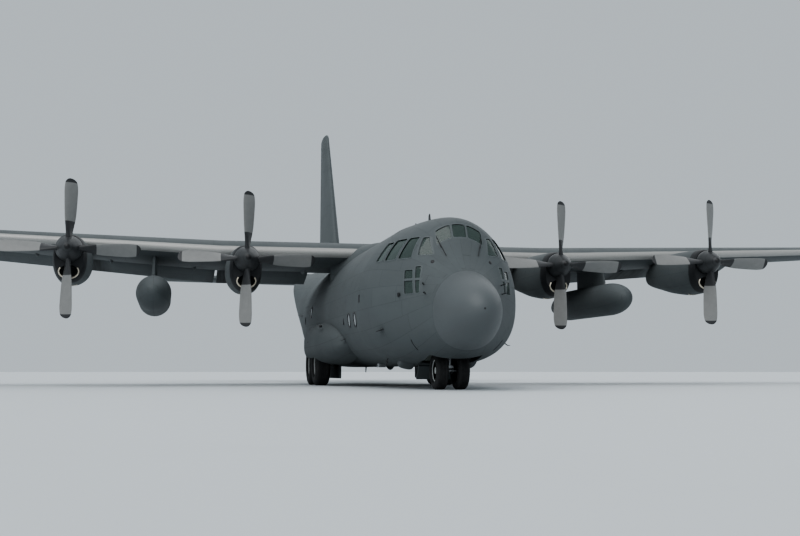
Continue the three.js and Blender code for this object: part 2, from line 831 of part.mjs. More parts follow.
const AFT_SKIN = 70;
const AFT_HOLLOW_END = 27400;
function aftFuselage() {
  const hollow = body(RAMP_HINGE - SKIN, AFT_HOLLOW_END, AFT_SKIN);
  const shell = cut(body(RAMP_HINGE, LENGTH), hollow);
  return cut(shell, rampTool(0), cargoDoorTool(0), tailplaneForm(SEAM));
}

// Sponsons hug the fuselage side and hold the main wheels
function sponsonForm(extra = 0) {
  const rings = SPONSON.map(([station, outer, top, bottom]) => {
    const middle = { x: SPONSON_MIDDLE, z: (top + bottom) / 2, station };
    const halfWidth = outer - SPONSON_MIDDLE + extra;
    return roundedRing(middle, halfWidth, (top - bottom) / 2 + extra, SPONSON_SIDES, SPONSON_POWER);
  });
  return loft(rings);
}

function sponson() {
  const outside = box([SPONSON_INNER, 0, 0], [2 * SPONSON_INNER, LENGTH, 2 * SPONSON_INNER]);
  const whole = sponsonForm().intersect(outside);
  return cut(whole, body(COCKPIT_END, RAMP_END, -SEAM), mainBayTool(1));
}

// Nacelle: a body with a chin intake, an engine bay that ends in the exhaust, hung under the wing
const ENGINE_BAY = { radius: 385, front: 9300, rear: 11700, axis: -60 };
const ENGINE = { rear: 11500, play: 10 };
// The exhaust pipe narrows out of the bay and slopes down to the nacelle's tail
const EXHAUST = { radius: 250, front: 11600, rear: 13200, frontDrop: -100, rearDrop: -180 };
const INTAKE = { halfWidth: 300, halfHeight: 165, height: -670, depth: 480 };
function nacelle(engine) {
  const rings = NACELLE.map(([station, width, top, bottom]) => {
    const middle = { x: engine.x, z: engine.z + (top + bottom) / 2, station };
    return roundedRing(middle, width, (top - bottom) / 2, NACELLE_SIDES, NACELLE_POWER);
  });
  const { radius, front, rear, axis } = ENGINE_BAY;
  const height = engine.z + axis;
  const bay = join(
    bar([engine.x, front, height], [engine.x, rear, height], radius),
    bar(
      [engine.x, EXHAUST.front, engine.z + EXHAUST.frontDrop],
      [engine.x, EXHAUST.rear, engine.z + EXHAUST.rearDrop],
      EXHAUST.radius,
    ),
  );
  const duct = new THREE.CylinderGeometry(1, 1, 2 * INTAKE.depth, 16);
  duct.scale(INTAKE.halfWidth, 1, INTAKE.halfHeight);
  duct.translate(engine.x, NACELLE[0][0], engine.z + INTAKE.height);
  const outer = OUTER_STATIONS.map((station) => Math.sign(engine.x) * station);
  const stations = Math.abs(engine.x) < WING.kink ? CENTRE_STATIONS : outer;
  return cut(loft(rings), bay, solid(duct), wingTool(stations));
}

function engineBlock(engine) {
  const { radius, front, axis } = ENGINE_BAY;
  const height = engine.z + axis;
  return bar(
    [engine.x, front + SEAM, height],
    [engine.x, ENGINE.rear, height],
    radius - ENGINE.play,
  );
}

// Propeller: pointed spinner and four twisted blades, turning about the engine's thrust line
const SPINNER = [
  [0, -520],
  [60, -495],
  [150, -400],
  [255, -220],
  [335, -30],
  [385, 140],
  [390, 230],
  [0, 230],
];
// Blade sections: radius, chord, thickness as a share of the chord, angle from the disc
const BLADE = [
  [200, 190, 0.9, 62],
  [480, 300, 0.34, 56],
  [1000, 430, 0.13, 44],
  [1650, 440, 0.08, 33],
  [PROPELLER_RADIUS, 350, 0.06, 27],
];
function bladeLoft() {
  const rings = BLADE.map(([radius, chord, thickness, degrees]) => {
    const angle = THREE.MathUtils.degToRad(degrees);
    const section = {
      lead: new THREE.Vector3(-0.4 * chord * Math.cos(angle), -0.4 * chord * Math.sin(angle), radius),
      along: new THREE.Vector3(Math.cos(angle), Math.sin(angle), 0),
      across: new THREE.Vector3(Math.sin(angle), -Math.cos(angle), 0),
      chord,
    };
    return sectionRing(section, foilOutline({ thickness, camber: 0.01 }, 1, 1, 3));
  });
  return loft(rings);
}

function propeller(name, { x, z }) {
  const profile = SPINNER.map(([radius, station]) => new THREE.Vector2(radius, station));
  const blades = [0, 1, 2, 3].map((quarter) => bladeLoft().rotate([0, 90 * quarter, 0]));
  const made = join(solid(new THREE.LatheGeometry(profile, 16)), ...blades);
  const mesh = piece(name, made, DARK_PAINT);
  mesh.position.set(x, PROPELLER_STATION, z);
  return mesh;
}

// External tank: a slender round body that is blunt ahead and pointed aft
const TANK_STEPS = 5;
const TANK_TAIL_POWER = 1.6;
function tank(extra = 0) {
  const { x, z, front, length, nose, tail } = TANK;
  const radius = TANK.radius + extra;
  const profile = [new THREE.Vector2(0, 0)];
  for (let i = 1; i <= TANK_STEPS; i += 1) {
    const angle = (i / TANK_STEPS) * (Math.PI / 2);
    profile.push(new THREE.Vector2(radius * Math.sin(angle), nose * (1 - Math.cos(angle))));
  }
  for (let i = 0; i < TANK_STEPS; i += 1) {
    const share = i / TANK_STEPS;
    const station = tail + share * (length - tail);
    profile.push(new THREE.Vector2(radius * (1 - share ** TANK_TAIL_POWER), station));
  }
  profile.push(new THREE.Vector2(0, length));
  return solid(new THREE.LatheGeometry(profile, TANK_SIDES)).translate([x, front, z]);
}

// Tank pylon: a thin foil from inside the tank's top up into the wing, cut by both
const PYLON_FOIL = { thickness: 0.07, camber: 0 };
function pylon() {
  const { lowLead, lowChord, highLead, highChord, high } = PYLON;
  const ends = [
    [TANK.z, lowLead, lowChord],
    [high, highLead, highChord],
  ];
  const rings = ends.map(([z, lead, chord]) => {
    const section = {
      lead: new THREE.Vector3(TANK.x, lead, z),
      along: new THREE.Vector3(0, 1, 0),
      across: new THREE.Vector3(1, 0, 0),
      chord,
    };
    return sectionRing(section, foilOutline(PYLON_FOIL, 1, 1, 5));
  });
  return cut(loft(rings), tank(SEAM), wingTool(OUTER_STATIONS));
}

// Wheels turn about a line across the aircraft
const WHEEL_SIDES = 24;
function wheelProfile(radius, width, bore) {
  const half = width / 2;
  return [
    [bore, -0.5 * half],
    [0.55 * radius, -0.7 * half],
    [0.8 * radius, -half],
    [0.95 * radius, -0.75 * half],
    [radius, -0.4 * half],
    [radius, 0.4 * half],
    [0.95 * radius, 0.75 * half],
    [0.8 * radius, half],
    [0.55 * radius, 0.7 * half],
    [bore, 0.5 * half],
  ];
}

function wheelSolid(radius, width, bore) {
  const profile = wheelProfile(radius, width, bore).map(([r, x]) => new THREE.Vector2(r, x));
  if (bore > 0) profile.push(profile[0].clone());
  const geometry = new THREE.LatheGeometry(profile, WHEEL_SIDES);
  geometry.rotateZ(-Math.PI / 2);
  return solid(geometry);
}

const AXLE = { main: 60, nose: 45, play: 12 };
function mainWheel(name, station) {
  const made = wheelSolid(MAIN_AXLE.radius, MAIN_AXLE.width, AXLE.main + AXLE.play);
  const mesh = piece(name, made, TYRE);
  mesh.position.set(MAIN_AXLE.x, station, MAIN_AXLE.height);
  return mesh;
}

function noseWheels() {
  const { radius, width, x } = NOSE_AXLE;
  const pair = [-x, x].map((place) => wheelSolid(radius, width, 0).translate([place, 0, 0]));
  const mesh = piece("nose_wheels", join(...pair, bar([-x, 0, 0], [x, 0, 0], AXLE.nose)), TYRE);
  mesh.position.set(0, NOSE_AXLE.station, NOSE_AXLE.height);
  return mesh;
}

// Main legs: two upright struts a side with a stub axle and a brace each, joined by a beam
const MAIN_LEG = { x: 1775, radius: 80, foot: 650, axleEnd: 2330 };
const MAIN_BRACE = { low: 1000, high: 1540, run: 420, radius: 35 };
const MAIN_BEAM = { inner: 70, outer: 60, low: 1470, high: 1580, ahead: 60, behind: 500 };
function mainLegs() {
  const { x, radius, foot, axleEnd } = MAIN_LEG;
  const { low, high, run } = MAIN_BRACE;
  const top = MAIN_BAY.top - SEAM;
  const struts = MAIN_AXLE.stations.flatMap((s) => [
    bar([x, s, foot], [x, s, top], radius),
    bar([x, s, MAIN_AXLE.height], [axleEnd, s, MAIN_AXLE.height], AXLE.main),
    bar([x, s, low], [x, s + run, high], MAIN_BRACE.radius, 12),
  ]);
  const [front, rear] = MAIN_AXLE.stations;
  const beam = box(
    [x - MAIN_BEAM.inner, front - MAIN_BEAM.ahead, MAIN_BEAM.low],
    [x + MAIN_BEAM.outer, rear + MAIN_BEAM.behind, MAIN_BEAM.high],
  );
  return join(...struts, beam);
}

// Nose leg: the fixed outer cylinder with a drag brace ahead and a trunnion across its top
const NOSE_LEG = { foot: 950, radius: 105, trunnion: 330, trunnionRadius: 55 };
const NOSE_BRACE = { low: 1100, high: 1640, ahead: 60, radius: 45 };
function noseLeg() {
  const s = NOSE_AXLE.station;
  const top = NOSE_BAY.top - SEAM;
  const { foot, radius, trunnion, trunnionRadius } = NOSE_LEG;
  const across = top - trunnionRadius;
  const braceTop = [0, NOSE_BAY.front + NOSE_BRACE.ahead, NOSE_BRACE.high];
  return join(
    bar([0, s, foot], [0, s, top], radius, 20),
    bar([0, s, NOSE_BRACE.low], braceTop, NOSE_BRACE.radius, 12),
    bar([-trunnion, s, across], [trunnion, s, across], trunnionRadius, 12),
  );
}

// Nose fork: the sliding piston with the axle's lug at its foot and one torque link behind
const FORK = { lugHalf: 85, lugLength: 90, lugRise: 130, piston: 70, linkReach: 160, linkRadius: 30 };
function noseFork() {
  const s = NOSE_AXLE.station;
  const axle = NOSE_AXLE.height;
  const { lugHalf, lugLength, lugRise, piston, linkReach, linkRadius } = FORK;
  const ear = [axle + lugRise, axle + lugRise + 60];
  const bore = AXLE.nose + AXLE.play;
  return cut(
    join(
      box([-lugHalf, s - lugLength, axle - lugLength], [lugHalf, s + lugLength, axle + lugRise]),
      bar([0, s, axle], [0, s, NOSE_LEG.foot - SEAM], piston, 20),
      box([-lugHalf / 2, s, ear[0]], [lugHalf / 2, s + linkReach + linkRadius, ear[1]]),
      bar([0, s + linkReach, ear[0] + linkRadius], [0, s + 60, 900], linkRadius, 12),
    ),
    bar([-2 * lugHalf, s, axle], [2 * lugHalf, s, axle], bore),
  );
}

// Open gear doors: thin plates that hang from the bays' edges
const NOSE_DOOR = { halfWidth: 640, top: 606, run: 330, drop: 350, thickness: 40 };
function noseGearDoor() {
  const { halfWidth, top, run, drop, thickness } = NOSE_DOOR;
  const hinge = NOSE_BAY.rear + thickness;
  const outline = [
    [hinge, top],
    [hinge + run, top - drop],
    [hinge + run + thickness, top - drop + thickness / 2],
    [hinge + thickness, top + thickness],
  ];
  return cut(sidePrism(outline, -halfWidth, halfWidth), body(RADOME_END, COCKPIT_END, -SEAM));
}

const MAIN_DOOR = { inner: 1585, thickness: 40, bottom: 230, margin: 60 };
function mainGearDoor() {
  const { front, rear } = MAIN_BAY;
  const { inner, thickness, bottom, margin } = MAIN_DOOR;
  const plate = box(
    [inner, front + margin, bottom],
    [inner + thickness, rear - margin, MAIN_AXLE.height],
  );
  return cut(plate, body(COCKPIT_END, RAMP_END, -SEAM), sponsonForm(SEAM));
}

// The parts of one side, built to port
function sideParts(side) {
  const group = new THREE.Group();
  group.add(
    piece(`outer_wing_${side}`, outerWing(), PAINT),
    flap(`inner_flap_${side}`, INNER_FLAP_SPAN),
    flap(`outer_flap_${side}`, OUTER_FLAP_SPAN),
    aileron(`aileron_${side}`),
    piece(`tank_${side}`, tank(), PAINT),
    piece(`tank_pylon_${side}`, pylon(), PAINT),
    piece(`sponson_${side}`, sponson(), PAINT),
    piece(`main_legs_${side}`, mainLegs(), STEEL),
    piece(`main_gear_door_${side}`, mainGearDoor(), PAINT),
    mainWheel(`front_main_wheel_${side}`, MAIN_AXLE.stations[0]),
    mainWheel(`rear_main_wheel_${side}`, MAIN_AXLE.stations[1]),
    piece(`paratroop_door_${side}`, paratroopDoor(1), PAINT),
    elevator(`elevator_${side}`),
  );
  if (side === "starboard") group.scale.x = -1;
  return group;
}

const aircraft = new THREE.Group();
aircraft.add(
  piece("radome", body(0, RADOME_END), RADOME_PAINT),
  piece("cockpit_shell", cockpitShell(), PAINT),
  piece("cockpit_glazing", cockpitGlazing(), GLASS),
  piece("flight_deck", flightDeck(), INTERIOR),
  piece("crew_door", crewDoor(), PAINT),
  piece("centre_fuselage", centreFuselage(), PAINT),
  piece("cargo_floor", cargoFloor(), INTERIOR),
  piece("aft_fuselage", aftFuselage(), PAINT),
  piece("ramp", ramp(), PAINT),
  piece("aft_cargo_door", cargoDoor(), PAINT),
  piece("centre_wing", centreWing(), PAINT),
  piece("front_wing_fairing", roofFairing(FRONT_FAIRING), PAINT),
  piece("rear_wing_fairing", roofFairing(REAR_FAIRING), PAINT),
  piece("tailplane", tailplane(), PAINT),
  piece("fin", fin(), PAINT),
  piece("rudder", rudder(), PAINT),
  piece("nose_leg", noseLeg(), STEEL),
  piece("nose_fork", noseFork(), STEEL),
  noseWheels(),
  piece("nose_gear_door", noseGearDoor(), PAINT),
  sideParts("port"),
  sideParts("starboard"),
);
for (const engine of ENGINES) {
  aircraft.add(
    piece(`nacelle_${engine.name}`, nacelle(engine), PAINT),
    piece(`engine_${engine.name}`, engineBlock(engine), BARE_METAL),
    propeller(`propeller_${engine.name}`, engine),
  );
}
aircraft.scale.setScalar(MODEL_SCALE);
aircraft.position.y = (-LENGTH / 2) * MODEL_SCALE;

const plane = new THREE.Group();
plane.add(aircraft);
export default plane;
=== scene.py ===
"""Skins, fittings and finishes of a four-engined military transport plane, parked on its wheels.

Shapes are worked out for the full-size aircraft in metres: X to port, the station S aft of the
nose tip, and the height Z above the ground. to_model() puts them into the half-size frame.
"""

import math
from functools import partialmethod, wraps

import bmesh
import bpy
import numpy as np
from bpy.props import FloatProperty, FloatVectorProperty, IntProperty, PointerProperty
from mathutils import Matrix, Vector


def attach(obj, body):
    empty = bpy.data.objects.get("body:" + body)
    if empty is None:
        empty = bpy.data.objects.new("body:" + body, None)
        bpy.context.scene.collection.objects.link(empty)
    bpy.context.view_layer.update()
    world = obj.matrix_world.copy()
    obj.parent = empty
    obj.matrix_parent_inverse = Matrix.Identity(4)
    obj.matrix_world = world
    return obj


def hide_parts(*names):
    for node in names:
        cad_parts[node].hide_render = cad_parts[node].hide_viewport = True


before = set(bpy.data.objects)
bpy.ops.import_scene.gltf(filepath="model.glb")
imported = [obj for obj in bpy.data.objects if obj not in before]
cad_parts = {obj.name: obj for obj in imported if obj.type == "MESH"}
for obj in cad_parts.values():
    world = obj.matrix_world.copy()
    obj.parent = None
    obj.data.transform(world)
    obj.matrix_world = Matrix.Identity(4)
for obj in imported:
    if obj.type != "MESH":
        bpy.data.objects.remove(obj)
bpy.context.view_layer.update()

bl_info = {
    "name": "Transport plane",
    "version": (1, 0, 0),
    "blender": (4, 5, 0),
    "location": "3D View > Sidebar > Plane",
    "description": "Builds the skins, fittings and finishes of a four-engined transport plane",
    "category": "Object",
}

# Scale and layout of the whole aircraft, and the directions to port, aft and up
SCALE = 0.5
LENGTH = 29.79
HALF_SPAN = 20.2
SIDES = {"port": 1, "starboard": -1}
ACROSS, AFT, UP = np.eye(3)

# Body sections: station, half width, top, widest height, bottom, squareness of the lower half
BODY = [
    (0.0, 0.02, 1.97, 1.95, 1.93, 2.0),
    (0.06, 0.21, 2.17, 1.95, 1.73, 2.0),
    (0.25, 0.41, 2.4, 1.95, 1.5, 2.0),
    (0.7, 0.64, 2.66, 1.95, 1.23, 2.0),
    (1.2, 0.79, 2.84, 1.96, 1.08, 2.1),
    (1.6, 0.88, 2.98, 1.97, 1.0, 2.2),
    (1.95, 1.08, 3.33, 2.04, 0.93, 2.3),
    (2.6, 1.47, 4.38, 2.2, 0.8, 2.4),
    (3.3, 1.8, 4.55, 2.32, 0.7, 2.5),
    (4.2, 2.06, 4.6, 2.37, 0.64, 2.6),
    (5.2, 2.16, 4.62, 2.4, 0.62, 2.7),
    (17.4, 2.16, 4.62, 2.4, 0.62, 2.7),
    (18.9, 2.15, 4.66, 2.85, 1.23, 2.5),
    (20.5, 2.11, 4.73, 3.35, 1.9, 2.4),
    (22.6, 1.98, 4.84, 3.9, 2.79, 2.2),
    (24.6, 1.68, 4.93, 4.25, 3.56, 2.0),
    (27.0, 0.93, 4.95, 4.45, 3.95, 2.0),
    (28.7, 0.59, 4.88, 4.54, 4.2, 2.0),
    (29.79, 0.3, 4.76, 4.56, 4.36, 2.0),
]
SKIN = 0.1
AFT_SKIN = 0.07
RADOME_END = 1.6
COCKPIT_END = 5.9
RAMP_HINGE = 17.45
RAMP_END = 20.5
CARGO_DOOR_END = 24.5
AFT_HOLLOW_END = 27.4
TAIL_END = 0.34
FLOOR_TOP = 1.03
FLIGHT_DECK_TOP = 2.0
SEAM = 0.0006
BODY_POINTS = 112

# Fairings between the wing and the roof: station, half width, top
FRONT_FAIRING = [(9.9, 0.3, 4.63), (10.7, 1.15, 4.73), (11.25, 1.5, 4.78), (12.2, 1.9, 4.8)]
REAR_FAIRING = [(13.4, 1.38, 4.74), (14.8, 1.33, 4.75), (16.4, 1.0, 4.7), (17.3, 0.3, 4.64)]
FAIRING_FOOT = 3.7

# Wing, its bays and its moving surfaces
WING_LEAD = 11.3
WING_HEIGHT = 4.4
WING_CHORD = 4.88
WING_TIP_CHORD = 2.48
WING_KINK = 5.6
WING_DIHEDRAL = 0.043
WING_SWEEP = 0.041
WING_INCIDENCE = 3.0
# The section's depth at the kink and at the tip
WING_DEPTHS = (0.878, 0.298)
WING_CAMBER = 0.02
WING_TIP_NEAR = 20.0
AILERON_HINGE = 0.76
AILERON_SPAN = (14.2, 19.58)
INNER_FLAP_SPAN = (2.29, 5.55)
OUTER_FLAP_SPAN = (5.61, 14.02)
# Shares of the chord by which the flaps' axis lies aft of the leading edge and below it
FLAP_PIVOT = (0.758, 0.285)
FLAP_SET = 18
BAY_ROOM = 0.06
ELEVATOR_ROOM = 0.02
AILERON_ROOM = 0.045
FLAP_END_ROOM = 0.04
CONTROL_GAP = 0.009

# Tail; each edge of the tailplane has its station in the middle and its sweep
TAIL_HEIGHT = 4.66
TAIL_THICKNESS = 0.12
TAIL_LEAD = (24.33, 0.237)
TAIL_TRAIL = (28.8, 0.135)
TAIL_HALF_SPAN = 8.025
TAIL_TIP_NEAR = 7.86
ELEVATOR_SPAN = (1.35, 7.7)
ELEVATOR_HINGE = 27.4
# Fin: height, front and rear station of its root and tip
FIN_THICKNESS = 0.11
FIN_ROOT = (4.7, 22.7, 28.85)
FIN_TIP = (11.66, 26.5, 28.65)
FIN_TIP_NEAR = 11.48
RUDDER_HEIGHT = (5.08, 11.15)
# Shares of the chord at the fin's root and tip
RUDDER_HINGES = (0.74, 0.58)
# Rounded ends: how far the leading edge runs aft, what the chord loses, the last section's thickness
WING_ROUND = (0.26, 0.43, 0.05)
TAIL_ROUND = (0.22, 0.28, 0.06)
FIN_ROUND = (0.18, 0.24, 0.07)

# Engines: distance to port, thrust line height
ENGINES = {
    "port_outer": (10.15, 4.05),
    "port_inner": (4.97, 3.85),
    "starboard_inner": (-4.97, 3.85),
    "starboard_outer": (-10.15, 4.05),
}
PROPELLER_STATION = 8.38
PROPELLER_RADIUS = 2.055
# Nacelle sections: station, half width, top and bottom from the thrust line
NACELLE = [
    (8.66, 0.43, 0.43, -0.89),
    (9.0, 0.49, 0.465, -0.98),
    (9.7, 0.52, 0.495, -1.0),
    (10.8, 0.53, 0.52, -0.89),
    (11.8, 0.49, 0.47, -0.7),
    (12.85, 0.31, 0.13, -0.49),
]
# Intake: half width, half height, height from the thrust line, depth
INTAKE = (0.27, 0.19, -0.66, 0.6)
# Exhaust: radius, front and rear station, then the height of both from the thrust line
EXHAUST = (0.25, 11.6, 13.2, -0.1, -0.18)

# Landing gear
NOSE_AXLE = {"station": 3.38, "radius": 0.495, "width": 0.33, "x": 0.285}
MAIN_AXLE = {"stations": (12.39, 13.91), "radius": 0.71, "width": 0.51, "x": 2.175}
NOSE_BAY = {"half_width": 0.71, "front": 2.62, "rear": 4.14, "top": 1.69}
MAIN_BAY = {"inner": 1.66, "outer": 2.485, "front": 11.6, "rear": 14.7, "top": 1.62}
BAY_WALL = 0.06

# Sponson sections: station, outermost, top, bottom
SPONSON = [
    (8.25, 1.88, 1.5, 1.22),
    (8.8, 2.23, 1.76, 0.96),
    (9.7, 2.48, 1.96, 0.78),
    (11.0, 2.62, 2.1, 0.69),
    (12.3, 2.64, 2.16, 0.66),
    (13.5, 2.61, 2.14, 0.66),
    (14.6, 2.4, 2.0, 0.69),
    (15.4, 2.06, 1.75, 0.76),
    (16.0, 1.74, 1.38, 0.88),
]
SPONSON_MIDDLE = 1.2
SPONSON_INNER = 1.5
SPONSON_POWER = 0.66

# External tanks
TANK = {"x": 7.73, "z": 2.95, "front": 9.62, "length": 7.43, "radius": 0.555, "nose": 1.5, "tail": 5.4}
PYLON = {"low_lead": 11.2, "low_chord": 3.0, "high_lead": 11.85, "high_chord": 2.35, "high": 4.4}

# Doors in the body's sides: front and rear station, low and high edge
CREW_DOOR = (4.55, 5.35, 1.03, 2.28)
PARATROOP_DOOR = (16.33, 17.26, 1.05, 2.88)
# Half widths of the opening at the ramp's hinge, between ramp and cargo door, and at the rear end
DOOR_PLAN = {"hinge": 1.48, "middle": 1.46, "end": 1.18}
CARGO_DOOR_TOP = 4.15
# Crew door's steps: the inner face's chord as distances to port and heights, and the door's opening angle
DOOR_STEPS = {
    "chord": ((1.62, 1.054), (2.03, 2.264)),
    "opens": 112,
    "bulge": 0.14,
    "shares": (0.06, 0.62),
    "stations": (4.68, 5.2),
    "treads": (0.12, 0.34, 0.56),
}
JACKING_PAD = {"x": 0.9, "station": 8.2, "half": 0.12, "bottom": 0.59, "top": 0.76}
RAMP_REAR = {"bottom": 1.88, "top": 2.24, "lean": 0.22}
DOOR_GAP = 0.02
# Side windows: front and rear station at the bottom, then at the top, low and high edge
SIDE_WINDOWS = [
    ((2.07, 2.17), (2.23, 2.35), (2.44, 3.13)),
    ((2.23, 2.5), (2.39, 2.62), (2.44, 3.05)),
    ((2.18, 2.42), (2.44, 2.56), (3.43, 3.9)),
    ((2.56, 3.01), (2.68, 3.01), (3.38, 3.93)),
    ((3.11, 3.62), (3.11, 3.62), (3.38, 3.93)),
    ((3.72, 4.18), (3.72, 4.12), (3.4, 3.9)),
]
WINDOW_INNER = 0.65
FRAME_WIDTH = 0.024
# The bar across the lower side windows: front and rear station, low and high edge
LOWER_WINDOW_BAR = (2.1, 2.59, 2.77, 2.83)
# Windscreen panes: inner and outer edge from the middle, then the front and rear station of all three
FRONT_PANES = [(-0.17, 0.17), (0.22, 0.6), (-0.6, -0.22)]
PANE_STATIONS = (2.26, 2.47)


def length_property(name, description, default, low):
    return FloatProperty(name=name, description=description, default=default, min=low, unit="LENGTH")


def colour_property(name, description, default):
    return FloatVectorProperty(name=name, description=description, default=default, size=3, subtype="COLOR")


class PlaneSizes(bpy.types.PropertyGroup):
    """Sizes that a user would change."""

    skin_steps: length_property("Ring spacing", "Distance between rings of the full-size skin", 0.12, 0.05)
    foil_steps: IntProperty(
        name="Section steps",
        description="Points on the upper and on the lower side of each wing section",
        default=28,
        min=8,
    )
    camera_distance: length_property("Camera distance", "Distance from the camera to the wing", 19.0, 8.0)
    camera_height: length_property("Camera height", "Height of the camera above the floor", 0.25, 0.05)
    camera_azimuth: FloatProperty(
        name="Camera azimuth",
        description="Direction of view, turned from straight aft towards starboard",
        default=math.radians(-11.87),
        subtype="ANGLE",
    )


class PlaneColours(bpy.types.PropertyGroup):
    """Colours that a user would change."""

    paint: colour_property("Paint", "Matt paint of the skins", (0.083, 0.094, 0.097))
    radome: colour_property("Radome", "Paint of the nose cone", (0.093, 0.104, 0.108))
    blade: colour_property("Blade", "Outer part of the propeller blades", (0.21, 0.21, 0.205))
    floor: colour_property("Floor", "Studio floor and backdrop", (0.57, 0.6, 0.62))


def sizes():
    return bpy.context.scene.plane_sizes


def colours():
    return bpy.context.scene.plane_colours


def rgba(colour, factor=1.0):
    """A colour with its brightness changed and full opacity."""
    return (*(channel * factor for channel in colour), 1.0)


def grey(level):
    return rgba((level, level, level))


# Points, surfaces and solids


def to_model(points):
    """Points of the full-size aircraft in the half-size frame: the middle of its length goes to 0."""
    return (np.asarray(points, float) - (0.0, LENGTH / 2, 0.0)) * SCALE


def model_y(station):
    """A station as the half-size frame's y."""
    return (station - LENGTH / 2) * SCALE


def stacked(x, s, z):
    """Points from coordinates whose shapes fit each other."""
    return np.stack(np.broadcast_arrays(x, s, z), axis=-1)


def grid_faces(rows, columns, wrap_rows=False):
    """Quads between neighbouring points of rows x columns, closed round each row and, if asked, over rows."""
    row = np.arange(rows if wrap_rows else rows - 1)[:, None]
    column = np.arange(columns)[None, :]
    next_row = (row + 1) % rows
    next_column = (column + 1) % columns
    corners = [
        row * columns + column,
        row * columns + next_column,
        next_row * columns + next_column,
        next_row * columns + column,
    ]
    return np.stack(corners, axis=-1).reshape(-1, 4).tolist()


def closed_loft(rings):
    """Points and faces of a skin through rings of equally many points, with a flat cap on both ends."""
    rings = np.asarray(rings, float)
    rows, columns, _ = rings.shape
    faces = grid_faces(rows, columns)
    faces.append(list(range(columns)))
    faces.append(list(range((rows - 1) * columns, rows * columns)))
    return rings.reshape(-1, 3), faces


def closed_shell(outer, inner):
    """Points and faces of a wall between two sets of rings, closed by a strip at each end."""
    rings = np.concatenate([outer, inner[::-1]])
    rows, columns, _ = rings.shape
    return rings.reshape(-1, 3), grid_faces(rows, columns, wrap_rows=True)


def rectangle(low_u, high_u, low_v, high_v):
    return [(low_u, low_v), (high_u, low_v), (high_u, high_v), (low_u, high_v)]


def prism(direction, outline, start, end):
    """An outline of the two other coordinates, carried straight along ACROSS, AFT or UP."""
    outline, column = np.asarray(outline, float), int(np.argmax(direction))
    return closed_loft([np.insert(outline, column, place, axis=1) for place in (start, end)])


def block(low, high):
    """Points and faces of an upright box between two corners."""
    (x0, s0, z0), (x1, s1, z1) = low, high
    return prism(UP, rectangle(x0, x1, s0, s1), z0, z1)


def rounded(outline, radius, steps=6):
    """An outline whose corners are curves: the quadratic from radius before each to radius after it."""
    corners = np.asarray(outline, float)
    before = np.roll(corners, 1, axis=0) - corners
    after = np.roll(corners, -1, axis=0) - corners
    start = corners + before * (radius / np.linalg.norm(before, axis=1))[:, None]
    end = corners + after * (radius / np.linalg.norm(after, axis=1))[:, None]
    t = np.linspace(0, 1, steps)[None, :, None]
    curve = (1 - t) ** 2 * start[:, None] + 2 * t * (1 - t) * corners[:, None] + t**2 * end[:, None]
    return curve.reshape(-1, 2)


def turn_steps(count):
    """Evenly spaced angles of a whole turn."""
    return np.linspace(0, 2 * np.pi, count, endpoint=False)


def oval(centre, half_width, half_height, count=48):
    """Points of an ellipse about a centre."""
    angle = turn_steps(count)
    return np.column_stack([centre[0] + half_width * np.cos(angle), centre[1] + half_height * np.sin(angle)])


def unit(vectors):
    """Vectors at a length of 1."""
    return vectors / np.linalg.norm(vectors, axis=-1, keepdims=True)


def circles(path, across, up, radius, count):
    """Rings round a path's points in two directions across it, with one radius or one for each point."""
    angle = turn_steps(count)[None, :, None]
    return path[:, None] + radius * (np.cos(angle) * across[:, None] + np.sin(angle) * up[:, None])


def rod(path, radius, count=24):
    """A round bar along a path: the first ring's direction is carried on to the others, across the path."""
    path = np.asarray(path, float)
    tangent = unit(np.gradient(path, axis=0))
    start = np.cross(tangent[0], UP)
    if np.linalg.norm(start) < 0.1:
        start = np.cross(tangent[0], ACROSS)
    across = unit(start - np.sum(start * tangent, axis=1)[:, None] * tangent)
    radius = np.broadcast_to(np.asarray(radius, float), len(path))[:, None, None]
    return closed_loft(circles(path, across, np.cross(tangent, across), radius, count))


def ring_tube(loop, radius, count=12):
    """A bead of round section carried round a closed loop of points."""
    loop = np.asarray(loop, float)
    tangent = unit(np.roll(loop, -1, axis=0) - np.roll(loop, 1, axis=0))
    out = loop - loop.mean(axis=0)
    out = unit(out - np.sum(out * tangent, axis=1)[:, None] * tangent)
    rings = circles(loop, out, np.cross(tangent, out), radius, count)
    return rings.reshape(-1, 3), grid_faces(len(loop), count, wrap_rows=True)


def lathe(profile, centre, axis, count=64):
    """A profile of distances along an axis and radii, turned about the axis through a centre."""
    profile, axis = np.asarray(profile, float), unit(np.asarray(axis, float))
    across = unit(np.cross(axis, UP if abs(axis[2]) < 0.9 else ACROSS))
    path, up = centre + profile[:, :1] * axis, np.cross(axis, across)
    return closed_loft(circles(path, across[None], up[None], profile[:, 1:, None], count))


def joined(*parts):
    """Several sets of points and faces as one."""
    points, faces, offset = [], [], 0
    for part_points, part_faces in parts:
        points.append(part_points)
        faces += [[index + offset for index in face] for face in part_faces]
        offset += len(part_points)
    return np.concatenate(points), faces


def mirrored(part):
    """A part on the other side of the plane of symmetry."""
    points, faces = part
    return points * (-1.0, 1.0, 1.0), faces


def on_side(part, side):
    return part if SIDES[side] > 0 else mirrored(part)


def pair(part):
    """A part and its mirror image."""
    return part, mirrored(part)


def both(*parts):
    """Some parts and their mirror images as one."""
    return joined(*pair(joined(*parts)))


def moved(part, shift):
    points, faces = part
    return points + shift, faces


def turned(points, start, end, degrees):
    """Points turned about the line from start to end: they stay along it and swing by the angle across it."""
    start, angle = np.asarray(start, float), math.radians(degrees)
    axis = unit(np.asarray(end, float) - start)
    arm = points - start
    along = np.sum(arm * axis, axis=-1, keepdims=True) * axis
    swing = (arm - along) * math.cos(angle) + np.cross(axis, arm) * math.sin(angle)
    return start + along + swing


